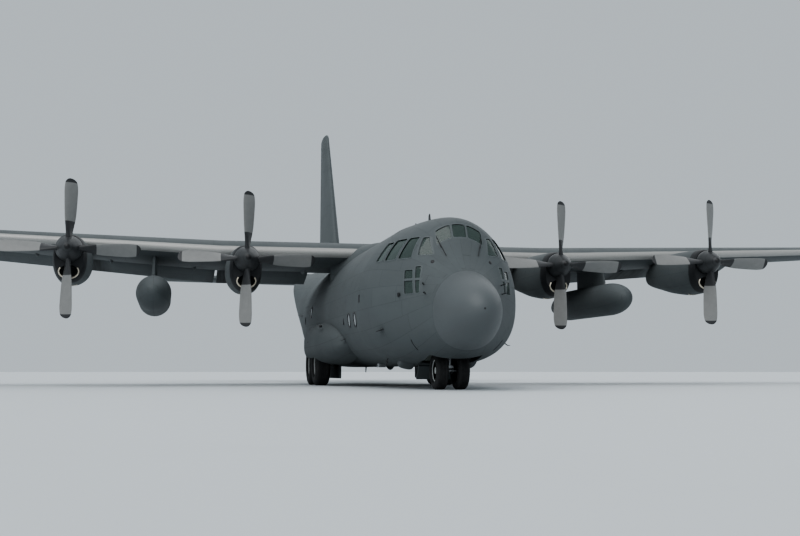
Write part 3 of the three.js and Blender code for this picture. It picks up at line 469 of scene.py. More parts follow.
def monotone(table, places, ease=lambda value: value):
    """A table's other columns at some places of its first, on cubics that never overshoot between two rows.

    The slope at a row is the harmonic mean of the slopes on both sides, or nought where they differ in sign.
    """
    table = np.asarray(table, float)
    knots, values = ease(table[:, 0]), table[:, 1:]
    places = ease(np.asarray(places, float))
    steps = np.diff(knots)[:, None]
    rises = np.diff(values, axis=0) / steps
    slopes = np.empty_like(values)
    agree = rises[1:] * rises[:-1] > 0
    total = np.where(agree, rises[1:] + rises[:-1], 1.0)
    slopes[1:-1] = np.where(agree, 2 * rises[1:] * rises[:-1] / total, 0.0)
    slopes[0], slopes[-1] = rises[0], rises[-1]
    row = np.clip(np.searchsorted(knots, places, side="right") - 1, 0, len(knots) - 2)
    step = steps[row]
    t = (places - knots[row])[:, None] / step
    low = (1 + 2 * t) * (1 - t) ** 2 * values[row] + t * (1 - t) ** 2 * step * slopes[row]
    high = t**2 * (3 - 2 * t) * values[row + 1] + t**2 * (t - 1) * step * slopes[row + 1]
    return low + high


# Pieces of the scene


def new_object(name, part):
    """A mesh object from points and faces of the full-size aircraft, its faces turned outwards."""
    points, faces = part
    mesh = bpy.data.meshes.new(name)
    mesh.from_pydata(to_model(points).tolist(), [], faces)
    shape = bmesh.new()
    shape.from_mesh(mesh)
    bmesh.ops.recalc_face_normals(shape, faces=shape.faces)
    shape.to_mesh(mesh)
    shape.free()
    made = bpy.data.objects.new(name, mesh)
    bpy.context.scene.collection.objects.link(made)
    return made


def carve(made, inside, without):
    """Keeps what an object shares with each part in inside, less each one in without, and bakes its mesh."""
    tools = []
    for operation, parts in (("INTERSECT", inside), ("DIFFERENCE", without)):
        for part in parts:
            tools.append(new_object("tool", part))
            modifier = made.modifiers.new("carve", "BOOLEAN")
            modifier.operation = operation
            modifier.solver = "MANIFOLD"
            modifier.object = tools[-1]
    bpy.context.view_layer.update()
    evaluated = made.evaluated_get(bpy.context.evaluated_depsgraph_get())
    mesh = bpy.data.meshes.new_from_object(evaluated)
    made.modifiers.clear()
    spent = [made.data] + [tool.data for tool in tools]
    made.data = mesh
    for old in spent:
        bpy.data.meshes.remove(old)


def add_piece(name, part, paint, replaces=(), inside=(), without=(), body="airframe", sharp=32):
    """Makes a piece, carves it, gives it its material, shades it smooth between sharp edges and ties it to
    body and nodes.
    """
    made = new_object(name, part)
    if inside or without:
        carve(made, inside, without)
    mesh = made.data
    mesh.materials.clear()
    mesh.materials.append(paint)
    mesh.polygons.foreach_set("material_index", np.zeros(len(mesh.polygons), int))
    mesh.polygons.foreach_set("use_smooth", np.ones(len(mesh.polygons), bool))
    mesh.set_sharp_from_angle(angle=math.radians(sharp))
    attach(made, body)
    if replaces:
        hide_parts(*replaces)


def refinish(node, new_material):
    """Gives a CAD node that stays in view a material of the scene's own."""
    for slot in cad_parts[node].material_slots:
        slot.material = new_material


# Body, wing and tail forms


def signed_power(value, power):
    """The power of a value's size, with the value's sign."""
    return np.sign(value) * np.abs(value) ** power


def body_rings(stations, inset=0.0):
    """Rings of the body: half an ellipse above the widest height and a squarer half below, drawn in by inset.

    Below, x and z are the cosine and sine to the power 2 / squareness.
    """
    width, top, middle, bottom, square = monotone(BODY, stations, np.sqrt).T[:, :, None]
    angle = 2 * np.pi * (np.arange(BODY_POINTS) + 0.5) / BODY_POINTS
    c, s = np.cos(angle)[None, :], np.sin(angle)[None, :]
    power = np.where(s > 0, 1.0, 2 / square)
    x = signed_power(c, power) * np.maximum(width - inset, 0.005)
    up = np.abs(s) ** power * np.where(s > 0, top - middle - inset, -(middle - bottom - inset))
    return stacked(x, stations[:, None], middle + up)


def body_stations(start, end):
    """Stations from start to end, closer together towards the nose tip."""
    steps = max(2, math.ceil((end - start) / sizes().skin_steps))
    return np.linspace(math.sqrt(start), math.sqrt(end), steps + 1) ** 2


def body_solid(start, end, inset=0.0):
    return closed_loft(body_rings(body_stations(start, end), inset))


def body_shell(start, end, outer=0.0, inner=SKIN):
    """A wall between two insets of the body's form."""
    stations = body_stations(start, end)
    return closed_shell(body_rings(stations, outer), body_rings(stations, inner))


def body_at(station):
    """Half width, top, widest height, bottom and squareness of the body."""
    return monotone(BODY, [station], np.sqrt)[0]


def skin_point(station, x=None, z=None, side=1):
    """A place on the body's skin and its outward direction, from a station and either x on the belly or z.

    On the half ellipse above, x / width = root(1 - t^2); below, with squareness n, x^n + t^n = 1.
    """

    def at(s, over):
        width, top, middle, bottom, square = body_at(s)
        if z is None:
            share = (1 - abs(over / width) ** square) ** (1 / square)
            return np.array((over, s, middle - (middle - bottom) * share))
        rise = (over - middle) / (top - middle if over > middle else middle - bottom)
        power = 2.0 if over > middle else square
        return np.array((side * width * (1 - abs(rise) ** power) ** (1 / power), s, over))

    over = x if z is None else z
    step = 0.01
    place = at(station, over)
    normal = np.cross(at(station + step, over) - place, at(station, over + step) - place)
    normal /= np.linalg.norm(normal)
    outward = place - (0.0, station, body_at(station)[2])
    return place, normal * math.copysign(1.0, normal @ outward)


def rounded_rings(columns, count, power):
    """Rings of rounded boxes: cosine and sine to a power, about a middle point.

    The columns are the stations, middle x, half width, middle height and half height.
    """
    angle = 2 * np.pi * (np.arange(count) + 0.5) / count
    columns = np.broadcast_arrays(*columns)
    stations, middle_x, half_width, middle_z, half_height = (column[:, None] for column in columns)
    x = middle_x + half_width * signed_power(np.cos(angle), power)
    return stacked(x, stations, middle_z + half_height * signed_power(np.sin(angle), power))


def foil_half(u, thickness):
    """Half thickness of a wing section as a share of its chord: a root and four powers of the place u."""
    curve = 0.2969 * np.sqrt(u) - 0.126 * u - 0.3516 * u**2 + 0.2843 * u**3 - 0.1015 * u**4
    return 5 * thickness * curve


def foil_camber(u, camber):
    return 4 * camber * u * (1 - u)


def foil_points(u, thickness, camber, side):
    """Points of a section's upper side, 1, or of its lower one, -1, at places along the chord."""
    return np.column_stack([u, foil_camber(u, camber) + side * foil_half(u, thickness)])


def foil_outline(thickness, camber, steps=None):
    """Outline from the upper trailing edge round the leading edge to the lower one, on a cosine spacing."""
    u = (1 + np.cos(np.linspace(0, np.pi, (steps or sizes().foil_steps) + 1))) / 2
    upper = foil_points(u, thickness, camber, 1)
    return np.concatenate([upper, foil_points(u[::-1][1:], thickness, camber, -1)])


def place(section, outline):
    """Outline points of a section in space: from its leading edge along its chord and across it."""
    outline = np.asarray(outline, float)
    along = outline[:, :1] * section["chord"] * section["along"]
    across = outline[:, 1:] * section["chord"] * section["across"]
    return section["lead"] + along + across


def ruled(first, last, count):
    """Rings on straight lines from the first ring to the last."""
    share = np.linspace(0, 1, count)[:, None, None]
    return (1 - share) * first + share * last


def surface(section_of, start, end, outline_of, count=2):
    ends = [place(section_of(x), outline_of(section_of(x))) for x in (start, end)]
    return ruled(*ends, count)


def wing_section(x):
    """The wing's section at a distance from the middle: even to the kink, then tapered and raised."""
    past = max(0.0, abs(x) - WING_KINK)
    share = past / (HALF_SPAN - WING_KINK)
    turn = math.radians(WING_INCIDENCE * (1 - share))
    chord = WING_CHORD + share * (WING_TIP_CHORD - WING_CHORD)
    depth = WING_DEPTHS[0] + share * (WING_DEPTHS[1] - WING_DEPTHS[0])
    return {
        "lead": np.array((x, WING_LEAD + WING_SWEEP * past, WING_HEIGHT + WING_DIHEDRAL * past)),
        "along": np.array((0.0, math.cos(turn), -math.sin(turn))),
        "across": np.array((0.0, math.sin(turn), math.cos(turn))),
        "chord": chord,
        "thickness": depth / chord,
        "camber": WING_CAMBER,
        "hinge": AILERON_HINGE,
    }


def straight_section(lead, chord, across, thickness=0.0, hinge=0.0):
    """A symmetrical section whose chord runs straight aft from its leading edge."""
    return {
        "lead": np.array(lead),
        "along": AFT,
        "across": across,
        "chord": chord,
        "thickness": thickness,
        "camber": 0.0,
        "hinge": hinge,
    }


def tail_section(x):
    """The tailplane's section, at one height, between a swept front and a swept rear edge."""
    lead = TAIL_LEAD[0] + TAIL_LEAD[1] * abs(x)
    chord = TAIL_TRAIL[0] - TAIL_TRAIL[1] * abs(x) - lead
    hinge = (ELEVATOR_HINGE - lead) / chord
    return straight_section((x, lead, TAIL_HEIGHT), chord, UP, TAIL_THICKNESS, hinge)


def fin_section(z):
    """The fin's section at a height, between its root's and its tip's edges."""
    share = (z - FIN_ROOT[0]) / (FIN_TIP[0] - FIN_ROOT[0])
    lead, trail = (FIN_ROOT[edge] + share * (FIN_TIP[edge] - FIN_ROOT[edge]) for edge in (1, 2))
    hinge = RUDDER_HINGES[0] + share * (RUDDER_HINGES[1] - RUDDER_HINGES[0])
    return straight_section((0.0, lead, z), trail - lead, ACROSS, FIN_THICKNESS, hinge)


def plain_outline(section):
    return foil_outline(section["thickness"], section["camber"])


def tipped(section_of, start, near, far, count, set_back, shorter, thickness):
    """A surface from start to near, whose sections shrink on a quarter circle to a thinner one at far."""
    rings = list(surface(section_of, start, near, plain_outline, count))
    for angle in np.linspace(0, np.pi / 2, 9)[1:]:
        share = 1 - math.cos(angle)
        section = section_of(near + (far - near) * math.sin(angle))
        section["lead"] = section["lead"] + (0.0, set_back * share, 0.0)
        section["chord"] -= shorter * share
        section["thickness"] += (thickness - section["thickness"]) * share
        rings.append(place(section, plain_outline(section)))
    return np.array(rings)


FLAP_BAY = {"lower": 0.685, "cove": 0.692, "lip": 0.85, "skin": 0.008, "beyond": 0.3}


def flap_bay_outline(section):
    """What a flap bay takes away: all behind a cove, which the upper skin overhangs as a lip."""
    skin, beyond, lip = FLAP_BAY["skin"], FLAP_BAY["beyond"], FLAP_BAY["lip"]
    u = np.array((FLAP_BAY["cove"], lip))
    cove, under_lip = foil_points(u, section["thickness"], section["camber"], 1) - ((0, 3 * skin), (0, skin))
    box = [(lip, beyond), (1 + beyond, beyond), (1 + beyond, -beyond)]
    return np.array([(FLAP_BAY["lower"], -beyond), cove, under_lip, *box])


def hinge_bay_outline(section):
    """What a hinged surface's bay takes away: all behind its round nose and a gap."""
    front = section["hinge"] - foil_half(section["hinge"], section["thickness"]) - CONTROL_GAP
    beyond = FLAP_BAY["beyond"]
    return np.array([(front, -beyond), (front, beyond), (1 + beyond, beyond), (1 + beyond, -beyond)])


FLAP_NOSE = 0.705
FLAP_DROP = 0.004


def flap_outline(_section):
    """A slim section of its own that lies in the cove and ends at the wing's trailing edge."""
    u, w = foil_outline(0.15, 0.015).T
    return np.column_stack([FLAP_NOSE + u * (1 - FLAP_NOSE), -FLAP_DROP * (1 - u) + w * (1 - FLAP_NOSE)])


def control_outline(section):
    """A control surface: a half circle about its hinge, then the section's own skins to the rear edge."""
    hinge, thickness, camber = section["hinge"], section["thickness"], section["camber"]
    half, middle = foil_half(hinge, thickness), foil_camber(hinge, camber)
    angle = np.linspace(0, np.pi, 17)
    nose = np.column_stack([hinge - half * np.sin(angle), middle + half * np.cos(angle)])
    u = np.linspace(1, hinge, 9)[:-1]
    upper, lower = (foil_points(u, thickness, camber, side) for side in (1, -1))
    return np.concatenate([upper, nose, lower[::-1]])


def control(section_of, span):
    """A moving surface's skin between the ends of its span."""
    return closed_loft(surface(section_of, *span, control_outline, 6))


def bay(section_of, start, end, outline_of, room=BAY_ROOM):
    """A bay as wide as its moving surface and some room at each end."""
    side = math.copysign(room, end - start)
    return closed_loft(surface(section_of, start - side, end + side, outline_of))


# Node trees


class Value:
    """A socket of a material's nodes, with arithmetic that adds Math nodes."""

    def __init__(self, nodes, socket):
        self.nodes = nodes
        self.socket = socket

    def maths(self, operation, *others):
        return self.nodes.add("ShaderNodeMath", {"operation": operation}, [self, *others])

    __add__ = __radd__ = partialmethod(maths, "ADD")
    __mul__ = __rmul__ = partialmethod(maths, "MULTIPLY")
    __sub__ = partialmethod(maths, "SUBTRACT")
    __abs__ = partialmethod(maths, "ABSOLUTE")
    most = partialmethod(maths, "MAXIMUM")

    def __rsub__(self, other):
        return self.nodes.add("ShaderNodeMath", {"operation": "SUBTRACT"}, [other, self])

    def fade(self, start, end):
        """0 below start and 1 above end, with a straight rise between; start may be the higher one."""
        inputs = {"Value": self, "From Min": start, "From Max": end}
        return self.nodes.add("ShaderNodeMapRange", {"clamp": True}, inputs, "Result")


class Finish:
    """One material and its nodes."""

    def __init__(self, name):
        self.material = bpy.data.materials.new(name)
        self.material.use_nodes = True
        self.tree = self.material.node_tree
        self.shader = self.tree.nodes["Principled BSDF"]
        split = self.tree.nodes.new("ShaderNodeSeparateXYZ")
        self.tree.links.new(self.tree.nodes.new("ShaderNodeTexCoord").outputs["Object"], split.inputs[0])
        self.x, self.y, self.z = (Value(self, socket) for socket in split.outputs)

    def add(self, kind, settings=None, inputs=None, output=0):
        """A new node: its settings first, then the values or links of its sockets, by name or in order."""
        node = self.tree.nodes.new(kind)
        for name, value in (settings or {}).items():
            setattr(node, name, value)
        pairs = inputs.items() if isinstance(inputs, dict) else enumerate(inputs or [])
        for key, value in pairs:
            self.feed(node.inputs[key], value)
        return Value(self, node.outputs[output])

    def feed(self, socket, value):
        if isinstance(value, Value):
            self.tree.links.new(value.socket, socket)
        elif socket.type == "VECTOR":
            socket.default_value = value[:3]
        else:
            socket.default_value = value

    def vector(self, x, y, z=0.0):
        return self.add("ShaderNodeCombineXYZ", inputs=[x, y, z])

    def noise(self, scale, stretch=(1.0, 1.0, 1.0), detail=4.0, roughness=0.55):
        """Cloudy noise from 0 to 1 on places stretched along the axes."""
        where = self.vector(self.x * stretch[0], self.y * stretch[1], self.z * stretch[2])
        inputs = {"Vector": where, "Scale": scale, "Detail": detail, "Roughness": roughness}
        return self.add("ShaderNodeTexNoise", inputs=inputs)

    def mix(self, share, first, second):
        """One colour turning into another as share goes from 0 to 1."""
        node = self.tree.nodes.new("ShaderNodeMix")
        node.data_type = "RGBA"
        factor = next(s for s in node.inputs if s.name == "Factor" and s.type == "VALUE")
        sockets = [factor] + [s for s in node.inputs if s.type == "RGBA"]
        for socket, value in zip(sockets, (share, first, second)):
            self.feed(socket, value)
        return Value(self, next(s for s in node.outputs if s.type == "RGBA"))

    def scaled(self, colour, factor):
        """A colour made brighter or darker by a factor that varies."""
        return self.add("ShaderNodeVectorMath", {"operation": "SCALE"}, {"Vector": colour, "Scale": factor})

    def bump(self, height, strength=0.5, distance=0.004):
        inputs = {"Strength": strength, "Distance": distance, "Height": height}
        return self.add("ShaderNodeBump", inputs=inputs)

    def panels(self, u, v, width, height, seam):
        """Seams and a random tone for each panel of a wall of panels laid like bricks."""
        settings = {"offset": 0.37, "offset_frequency": 3, "squash": 1.4, "squash_frequency": 2}
        inputs = {"Vector": self.vector(u, v), "Scale": 1.0, "Mortar Size": seam, "Mortar Smooth": 0.2}
        inputs |= {"Color1": grey(0.0), "Color2": grey(1.0), "Mortar": grey(0.5)}
        inputs |= {"Brick Width": width, "Row Height": height}
        seams = self.add("ShaderNodeTexBrick", settings, inputs, "Fac")
        return seams, Value(self, seams.socket.node.outputs["Color"])

    def done(self, colour, roughness, bump=None, **constants):
        """Links the shader's varying sockets, sets its constant ones, and returns the material."""
        self.feed(self.shader.inputs["Base Color"], colour)
        self.feed(self.shader.inputs["Roughness"], roughness)
        if bump is not None:
            self.feed(self.shader.inputs["Normal"], bump)
        for name, value in constants.items():
            self.feed(self.shader.inputs[name.replace("_", " ")], value)
        return self.material


MATERIALS = {}


def once(lay_out):
    """Turns a function that lays out a material's nodes into one that makes it on its name's first use."""

    @wraps(lay_out)
    def get(name, *values, **options):
        if name not in MATERIALS:
            MATERIALS[name] = lay_out(Finish(name), *values, **options)
        return MATERIALS[name]

    return get


@once
def weathered(f, coordinates, bright=1.0, panel=(0.55, 0.27), dirt=0.5, extra=None):
    """Matt paint on riveted panels: each panel a little lighter or darker, dark seams, run-off and grime.

    coordinates(f) gives the places along and across the panels. extra(f, colour, rough) may lay more over
    the paint, such as soot or bare metal.
    """
    u, v = coordinates(f)
    seam, tone = f.panels(u, v, *panel, 0.0022)
    rivets = rivet_rows(u, v, panel)
    cloud = f.noise(0.9, detail=6.0)
    fine = f.noise(38.0, detail=3.0)
    streak = f.noise(3.2, (7.0, 0.7, 7.0), 5.0, 0.6)
    grime = f.noise(2.1, (1.0, 0.45, 1.3), 8.0, 0.68).fade(0.5, 0.78)
    tone = f.add("ShaderNodeSeparateColor", inputs=[tone])
    light = 0.86 + cloud * 0.22 + fine * 0.05 + tone * 0.07 + streak * 0.12 - grime * (0.2 * dirt)
    light = light * (1.0 - seam * 0.42) * (1.0 - rivets * 0.12)
    painted = f.scaled(rgba(colours().paint, bright), light)
    rough = 0.56 + fine * 0.12 + streak * 0.1 + grime * 0.12
    height = seam * -1.0 + fine * 0.06 + cloud * 0.25 + rivets * 0.18
    if extra:
        painted, rough = extra(f, painted, rough)
    return f.done(painted, rough, f.bump(height, 0.35, 0.0035), Specular_IOR_Level=0.35)


def rivet_rows(u, v, panel, pitch=0.022, radius=0.0026):
    """Dots of one radius at an even pitch, in rows just inside the panels' long seams."""
    across = ((v * (1 / panel[1])).maths("FRACT") - 0.5).maths("ABSOLUTE")
    offset = (across - (0.5 - 0.012 / panel[1])) * panel[1]
    along = ((u * (1 / pitch)).maths("FRACT") - 0.5) * pitch
    distance = (offset * offset + along * along).maths("SQRT")
    return distance.fade(radius, radius * 0.5)


def around_body(f):
    """Coordinates on the body's skin: along it, and the angle round it times its radius."""
    return f.y, f.x.maths("ARCTAN2", f.z - 1.3) * 1.06


def over_plan(f):
    return f.x, f.y


def over_side(f):
    return f.z, f.y


def around_pod(x, z, radius):
    """Coordinates on a pod's skin: along it, and the angle round its own axis from below times its radius."""

    def coordinates(f):
        turn = (f.x - x * SCALE).maths("ARCTAN2", z * SCALE - f.z)
        return f.y, turn * (radius * SCALE)

    return coordinates


def exhaust_stain(f, painted, rough):
    """Soot that spreads aft of each engine's exhaust on what faces down."""
    down = f.add("ShaderNodeNewGeometry", output="Normal")
    facing = f.add("ShaderNodeSeparateXYZ", inputs=[down], output="Z").fade(0.25, -0.35)
    total = None
    for x, _height in ENGINES.values():
        aft = f.y - model_y(12.3)
        fan = (abs(f.x - x * SCALE) - aft * 0.13).fade(0.26, 0.04) * aft.fade(-0.5, 0.05)
        total = fan if total is None else total.most(fan)
    smear = f.noise(2.6, (7.0, 0.5, 1.0), 6.0, 0.6).fade(0.25, 0.75)
    share = total * facing * (0.42 + smear * 0.5)
    return f.mix(share, painted, (0.017, 0.016, 0.015, 1.0)), rough + share * 0.15


def wing_finish(f, painted, rough):
    """Bare metal along the leading edge of the wing, and soot."""
    painted, rough = exhaust_stain(f, painted, rough)
    past = (abs(f.x) - WING_KINK * SCALE).most(0.0)
    behind = f.y - (past * WING_SWEEP + model_y(WING_LEAD))
    scuffed = f.noise(9.0, (0.4, 3.0, 3.0), 5.0) * 0.012
    strip = (behind + scuffed).fade(0.05, 0.044)
    worn = f.noise(60.0, detail=4.0) * 0.35 + 0.75
    f.feed(f.shader.inputs["Metallic"], strip * 0.45)
    return f.mix(strip, painted, f.scaled((0.42, 0.415, 0.4, 1.0), worn)), rough - strip * 0.22


def soiled(f, painted, rough):
    """Soot round a nacelle's exhaust, and a black band behind the spinner."""
    painted, rough = exhaust_stain(f, painted, rough)
    smear = f.noise(4.0, (4.0, 0.8, 4.0), 6.0)
    aft = f.y.fade(model_y(11.2), model_y(12.8))
    painted = f.mix(aft * smear * 0.7, painted, (0.03, 0.028, 0.026, 1.0))
    band = (f.y + (smear - 0.5) * 0.03).fade(model_y(9.02), model_y(8.98))
    return f.mix(band, painted, (0.02, 0.021, 0.023, 1.0)), rough - band * 0.12


def skin_material():
    return weathered("body_paint", around_body)


def wing_material():
    return weathered("wing_paint", over_plan, panel=(0.62, 0.31), extra=wing_finish)


@once
def spinner_material(f):
    """Charcoal spinner with a black cap, a seam behind it and one in front of the blades."""
    aft = f.y - model_y(PROPELLER_STATION)
    patch = f.noise(9.0, detail=6.0, roughness=0.6)
    seams = abs(aft + 0.2).fade(0.004, 0.002).most(abs(aft + 0.085).fade(0.004, 0.002))
    cap = aft.fade(-0.236, -0.24)
    shade = f.mix(cap.most(seams), (0.034, 0.036, 0.038, 1.0), (0.008, 0.008, 0.009, 1.0))
    return f.done(f.scaled(shade, 0.8 + patch * 0.4), 0.36 + patch * 0.18, f.bump(seams * -1.0, 0.4, 0.002))


@once
def blade_material(f, x, z):
    """Pale grey blades with dark cuffs near the hub and dark tips."""
    across, up = f.x - x * SCALE, f.z - z * SCALE
    radius = (across * across + up * up).maths("SQRT")
    patch = f.noise(14.0, detail=5.0)
    scratch = f.noise(80.0, (1.0, 0.3, 1.0))
    pale = f.scaled(rgba(colours().blade), 0.85 + patch * 0.25 + scratch * 0.05)
    ends = radius.fade(0.4, 0.395).most(radius.fade(0.965, 0.97))
    dark = f.mix(ends, pale, (0.028, 0.029, 0.031, 1.0))
    return f.done(dark, 0.38 + patch * 0.16, f.bump(scratch, 0.1, 0.001))


@once
def radome_material(f):
    """Smoother paint with chips, and a dark dot at the nose tip."""
    cloud = f.noise(2.4, detail=5.0)
    streak = f.noise(4.0, (6.0, 0.8, 6.0), 5.0)
    fine = f.noise(60.0, detail=3.0)
    chips = f.noise(22.0, detail=6.0, roughness=0.7).fade(0.68, 0.74)
    off = f.z - 0.975
    tip = (f.x * f.x + off * off).maths("SQRT").fade(0.014, 0.012)
    painted = f.scaled(rgba(colours().radome), 0.88 + cloud * 0.16 + streak * 0.1)
    painted = f.mix(chips * 0.5, painted, (0.05, 0.052, 0.055, 1.0))
    painted = f.mix(tip, painted, (0.02, 0.02, 0.022, 1.0))
    return f.done(painted, 0.42 + streak * 0.16 + fine * 0.06, f.bump(fine, 0.1, 0.001))


@once
def plain_metal(f, colour, rough, wear=0.25):
    """Metal with fine scratches, darker and duller patches."""
    patch = f.noise(11.0, detail=6.0, roughness=0.6)
    scratch = f.noise(70.0, (0.3, 3.0, 1.0))
    shade = f.scaled(rgba(colour), 1.0 - wear / 2 + patch * wear)
    return f.done(shade, rough + patch * 0.14 + scratch * 0.08, f.bump(scratch, 0.12, 0.001), Metallic=1.0)


@once
def coated(f, colour, rough, wear=0.15, bumpy=0.15, scale=30.0, specular=0.4):
    """A painted, moulded or rubber surface: cloudy tone, fine grain and duller patches."""
    patch = f.noise(scale * 0.18, detail=6.0, roughness=0.6)
    grain = f.noise(scale * 3.0)
    dust = f.noise(scale * 0.5, detail=8.0, roughness=0.7).fade(0.55, 0.8)
    shade = f.scaled(rgba(colour), 1.0 - wear / 2 + patch * wear - dust * (wear * 0.6))
    bump = f.bump(grain, bumpy, 0.0015)
    return f.done(shade, rough + patch * 0.1 + dust * 0.08, bump, Specular_IOR_Level=specular)


@once
def glass_material(f):
    """Tinted window glass, with faint smears that dull it."""
    smear = f.noise(7.0, detail=6.0, roughness=0.6)
    shade = f.scaled((0.045, 0.068, 0.06, 1.0), 0.7 + f.noise(2.0) * 0.6)
    return f.done(shade, 0.1 + smear * 0.06, Alpha=0.76, Specular_IOR_Level=0.6)


@once
def tyre_material(f):
    """Dusty black rubber."""
    patch = f.noise(6.0, detail=6.0, roughness=0.65)
    grain = f.noise(120.0, detail=3.0)
    dust = f.noise(16.0, detail=8.0, roughness=0.7).fade(0.45, 0.8)
    shade = f.mix(dust * 0.35, (0.017, 0.017, 0.018, 1.0), (0.07, 0.066, 0.06, 1.0))
    return f.done(f.scaled(shade, 0.8 + patch * 0.4), 0.72 + patch * 0.16, f.bump(grain, 0.3, 0.001))


@once
def tread_plate(f):
    """Worn anti-slip floor: fine grit, and paler tracks where loads have rolled."""
    grit = f.noise(150.0, detail=2.0)
    tracks = abs(abs(f.x) - 0.52).fade(0.14, 0.04) * f.noise(5.0, (1.0, 0.3, 1.0)).fade(0.3, 0.7)
    shade = f.mix(tracks * 0.6, (0.075, 0.08, 0.078, 1.0), (0.25, 0.25, 0.24, 1.0))
    return f.done(f.scaled(shade, 0.7 + grit * 0.5), 0.75 - tracks * 0.2, f.bump(grit, 0.4, 0.001))


@once
def lamp(f, colour, strength):
    """A lamp's lens, which may glow a little."""
    grain = f.noise(30.0, detail=3.0)
    shade = f.scaled(rgba(colour), 0.8 + grain * 0.4)
    f.feed(f.shader.inputs["Emission Color"], shade)
    return f.done(shade, 0.12 + grain * 0.08, Emission_Strength=strength, Coat_Weight=0.6)


# Colour and roughness of the metals, and wear where it isn't the usual one
METALS = {
    "bare_metal": ((0.56, 0.54, 0.5), 0.26),
    "gear_steel": ((0.4, 0.41, 0.42), 0.32),
    "lip_metal": ((0.66, 0.6, 0.5), 0.3),
    "burnt_metal": ((0.2, 0.16, 0.13), 0.42, 0.6),
    "engine_casing": ((0.3, 0.29, 0.27), 0.45, 0.5),
}
# The same for the coats, then how bumpy they are, the scale of their grain and their shine
COATS = {
    "gear_paint": ((0.48, 0.49, 0.48), 0.42, 0.3),
    "black_paint": ((0.018, 0.019, 0.021), 0.4, 0.3),
    "bay_paint": ((0.3, 0.33, 0.3), 0.55, 0.35),
    "cabin_paint": ((0.17, 0.2, 0.18), 0.6, 0.25),
    "seat_cloth": ((0.1, 0.115, 0.085), 0.85, 0.25, 0.5, 60.0, 0.2),
    "seat_webbing": ((0.22, 0.035, 0.025), 0.85, 0.3, 0.5, 60.0, 0.2),
    "dial_glass": ((0.012, 0.014, 0.016), 0.12, 0.2, 0.0),
    "port_glass": ((0.1, 0.115, 0.12), 0.12, 0.2, 0.0),
    "cream_plastic": ((0.5, 0.45, 0.33), 0.35, 0.15, 0.05),
}


def coat(name):
    """A metal or a coat from the tables."""
    return plain_metal(name, *METALS[name]) if name in METALS else coated(name, *COATS[name])


# Operators: one for each group of pieces


class PLANE_OT_body(bpy.types.Operator):
    """Builds the body's skins, its doors and the ramp"""

    bl_idname = "plane.body"
    bl_label = "Body skins and doors"

    def execute(self, _context):
        paint = skin_material()
        radome = body_solid(0.0, RADOME_END - 0.004)
        add_piece("radome_skin", radome, radome_material("radome_paint"), ["radome"])
        holes = [nose_bay_hole(), crew_door_hole(0.01), *window_holes()]
        cockpit = body_shell(RADOME_END + SEAM, COCKPIT_END - 0.002)
        add_piece("cockpit_skin", cockpit, paint, ["cockpit_shell"], without=holes)
        door = [crew_door_hole(0.0)]
        add_piece("crew_door_skin", body_shell(4.4, 5.5), paint, ["crew_door"], door, body="crew_door")
        holes = [*pair(main_bay_hole()), *pair(paratroop_hole(0.008))]
        centre = body_shell(COCKPIT_END + SEAM, RAMP_HINGE - SEAM)
        add_piece("centre_skin", centre, paint, ["centre_fuselage"], without=holes)

        for side in SIDES:
            door, window = ([on_side(hole, side)] for hole in (paratroop_hole(0.0), paratroop_window()))
            covered, name = [f"paratroop_door_{side}"], f"paratroop_door_skin_{side}"
            add_piece(name, body_shell(16.2, 17.4), paint, covered, door, window)
            pane, glass = body_shell(16.5, 17.1, 0.03, 0.045), glass_material("window_glass")
            add_piece(f"paratroop_pane_{side}", pane, glass, inside=window)
        add_piece("jacking_pads", both(jacking_pad()), coat("gear_steel"))

        hollow = body_solid(RAMP_HINGE - SKIN, AFT_HOLLOW_END, AFT_SKIN)
        holes = [hollow, ramp_hole(0.0), cargo_door_hole(0.0)]
        add_piece("aft_skin", tail_form(), paint, ["aft_fuselage"], without=holes)
        treads = tread_plate("tread_plate")
        add_piece("crew_door_steps", door_steps(), treads, body="crew_door", sharp=25)
        add_piece("ramp_floor", ramp_floor(), treads, body="ramp", sharp=25)
        ramp = body_solid(RAMP_HINGE - 0.3, RAMP_END + 0.3)
        add_piece("ramp_skin", ramp, paint, ["ramp"], [ramp_hole(-DOOR_GAP), ramp_sides()], body="ramp")
        door = body_shell(RAMP_END - 0.3, CARGO_DOOR_END + 0.3)
        box = block((-3.0, RAMP_END + DOOR_GAP, 0.0), (3.0, CARGO_DOOR_END - DOOR_GAP, CARGO_DOOR_TOP))
        name, inside = "aft_cargo_door", [cargo_door_hole(-DOOR_GAP), box]
        add_piece("aft_cargo_door_skin", door, paint, [name], inside, body=name)
        for name, table in (("front", FRONT_FAIRING), ("rear", REAR_FAIRING)):
            covered, roof = [f"{name}_wing_fairing"], [body_solid(9.0, 18.0, 0.03)]
            add_piece(f"{name}_wing_fairing_skin", roof_fairing(table), paint, covered, without=roof)
        return {"FINISHED"}


def tail_form():
    """The rear of the body, whose last stretch shrinks towards its middle on a quarter of an ellipse."""
    angle = np.linspace(0, 0.97, 12)[1:] * np.pi / 2
    start = LENGTH - TAIL_END
    main = body_rings(body_stations(RAMP_HINGE, start))
    end = body_rings(start + TAIL_END * np.sin(angle) / np.sin(angle[-1]))
    middle = end.mean(axis=1, keepdims=True)
    end = middle + (end - middle) * np.cos(angle)[:, None, None] ** 0.8
    return closed_loft(np.concatenate([main, end]))


def nose_bay_hole():
    half, front, rear = NOSE_BAY["half_width"], NOSE_BAY["front"], NOSE_BAY["rear"]
    return prism(UP, rounded(rectangle(-half, half, front, rear), 0.1), 0.0, NOSE_BAY["top"])


def door_hole(door, gap, corner, inner):
    """The stretch of a side that a door fills, and a gap round it."""
    front, rear, low, high = door
    outline = rectangle(front - gap, rear + gap, low - gap, high + gap)
    return prism(ACROSS, rounded(outline, corner), inner, 2.4)


def crew_door_hole(gap):
    return door_hole(CREW_DOOR, gap, 0.12, 1.2)


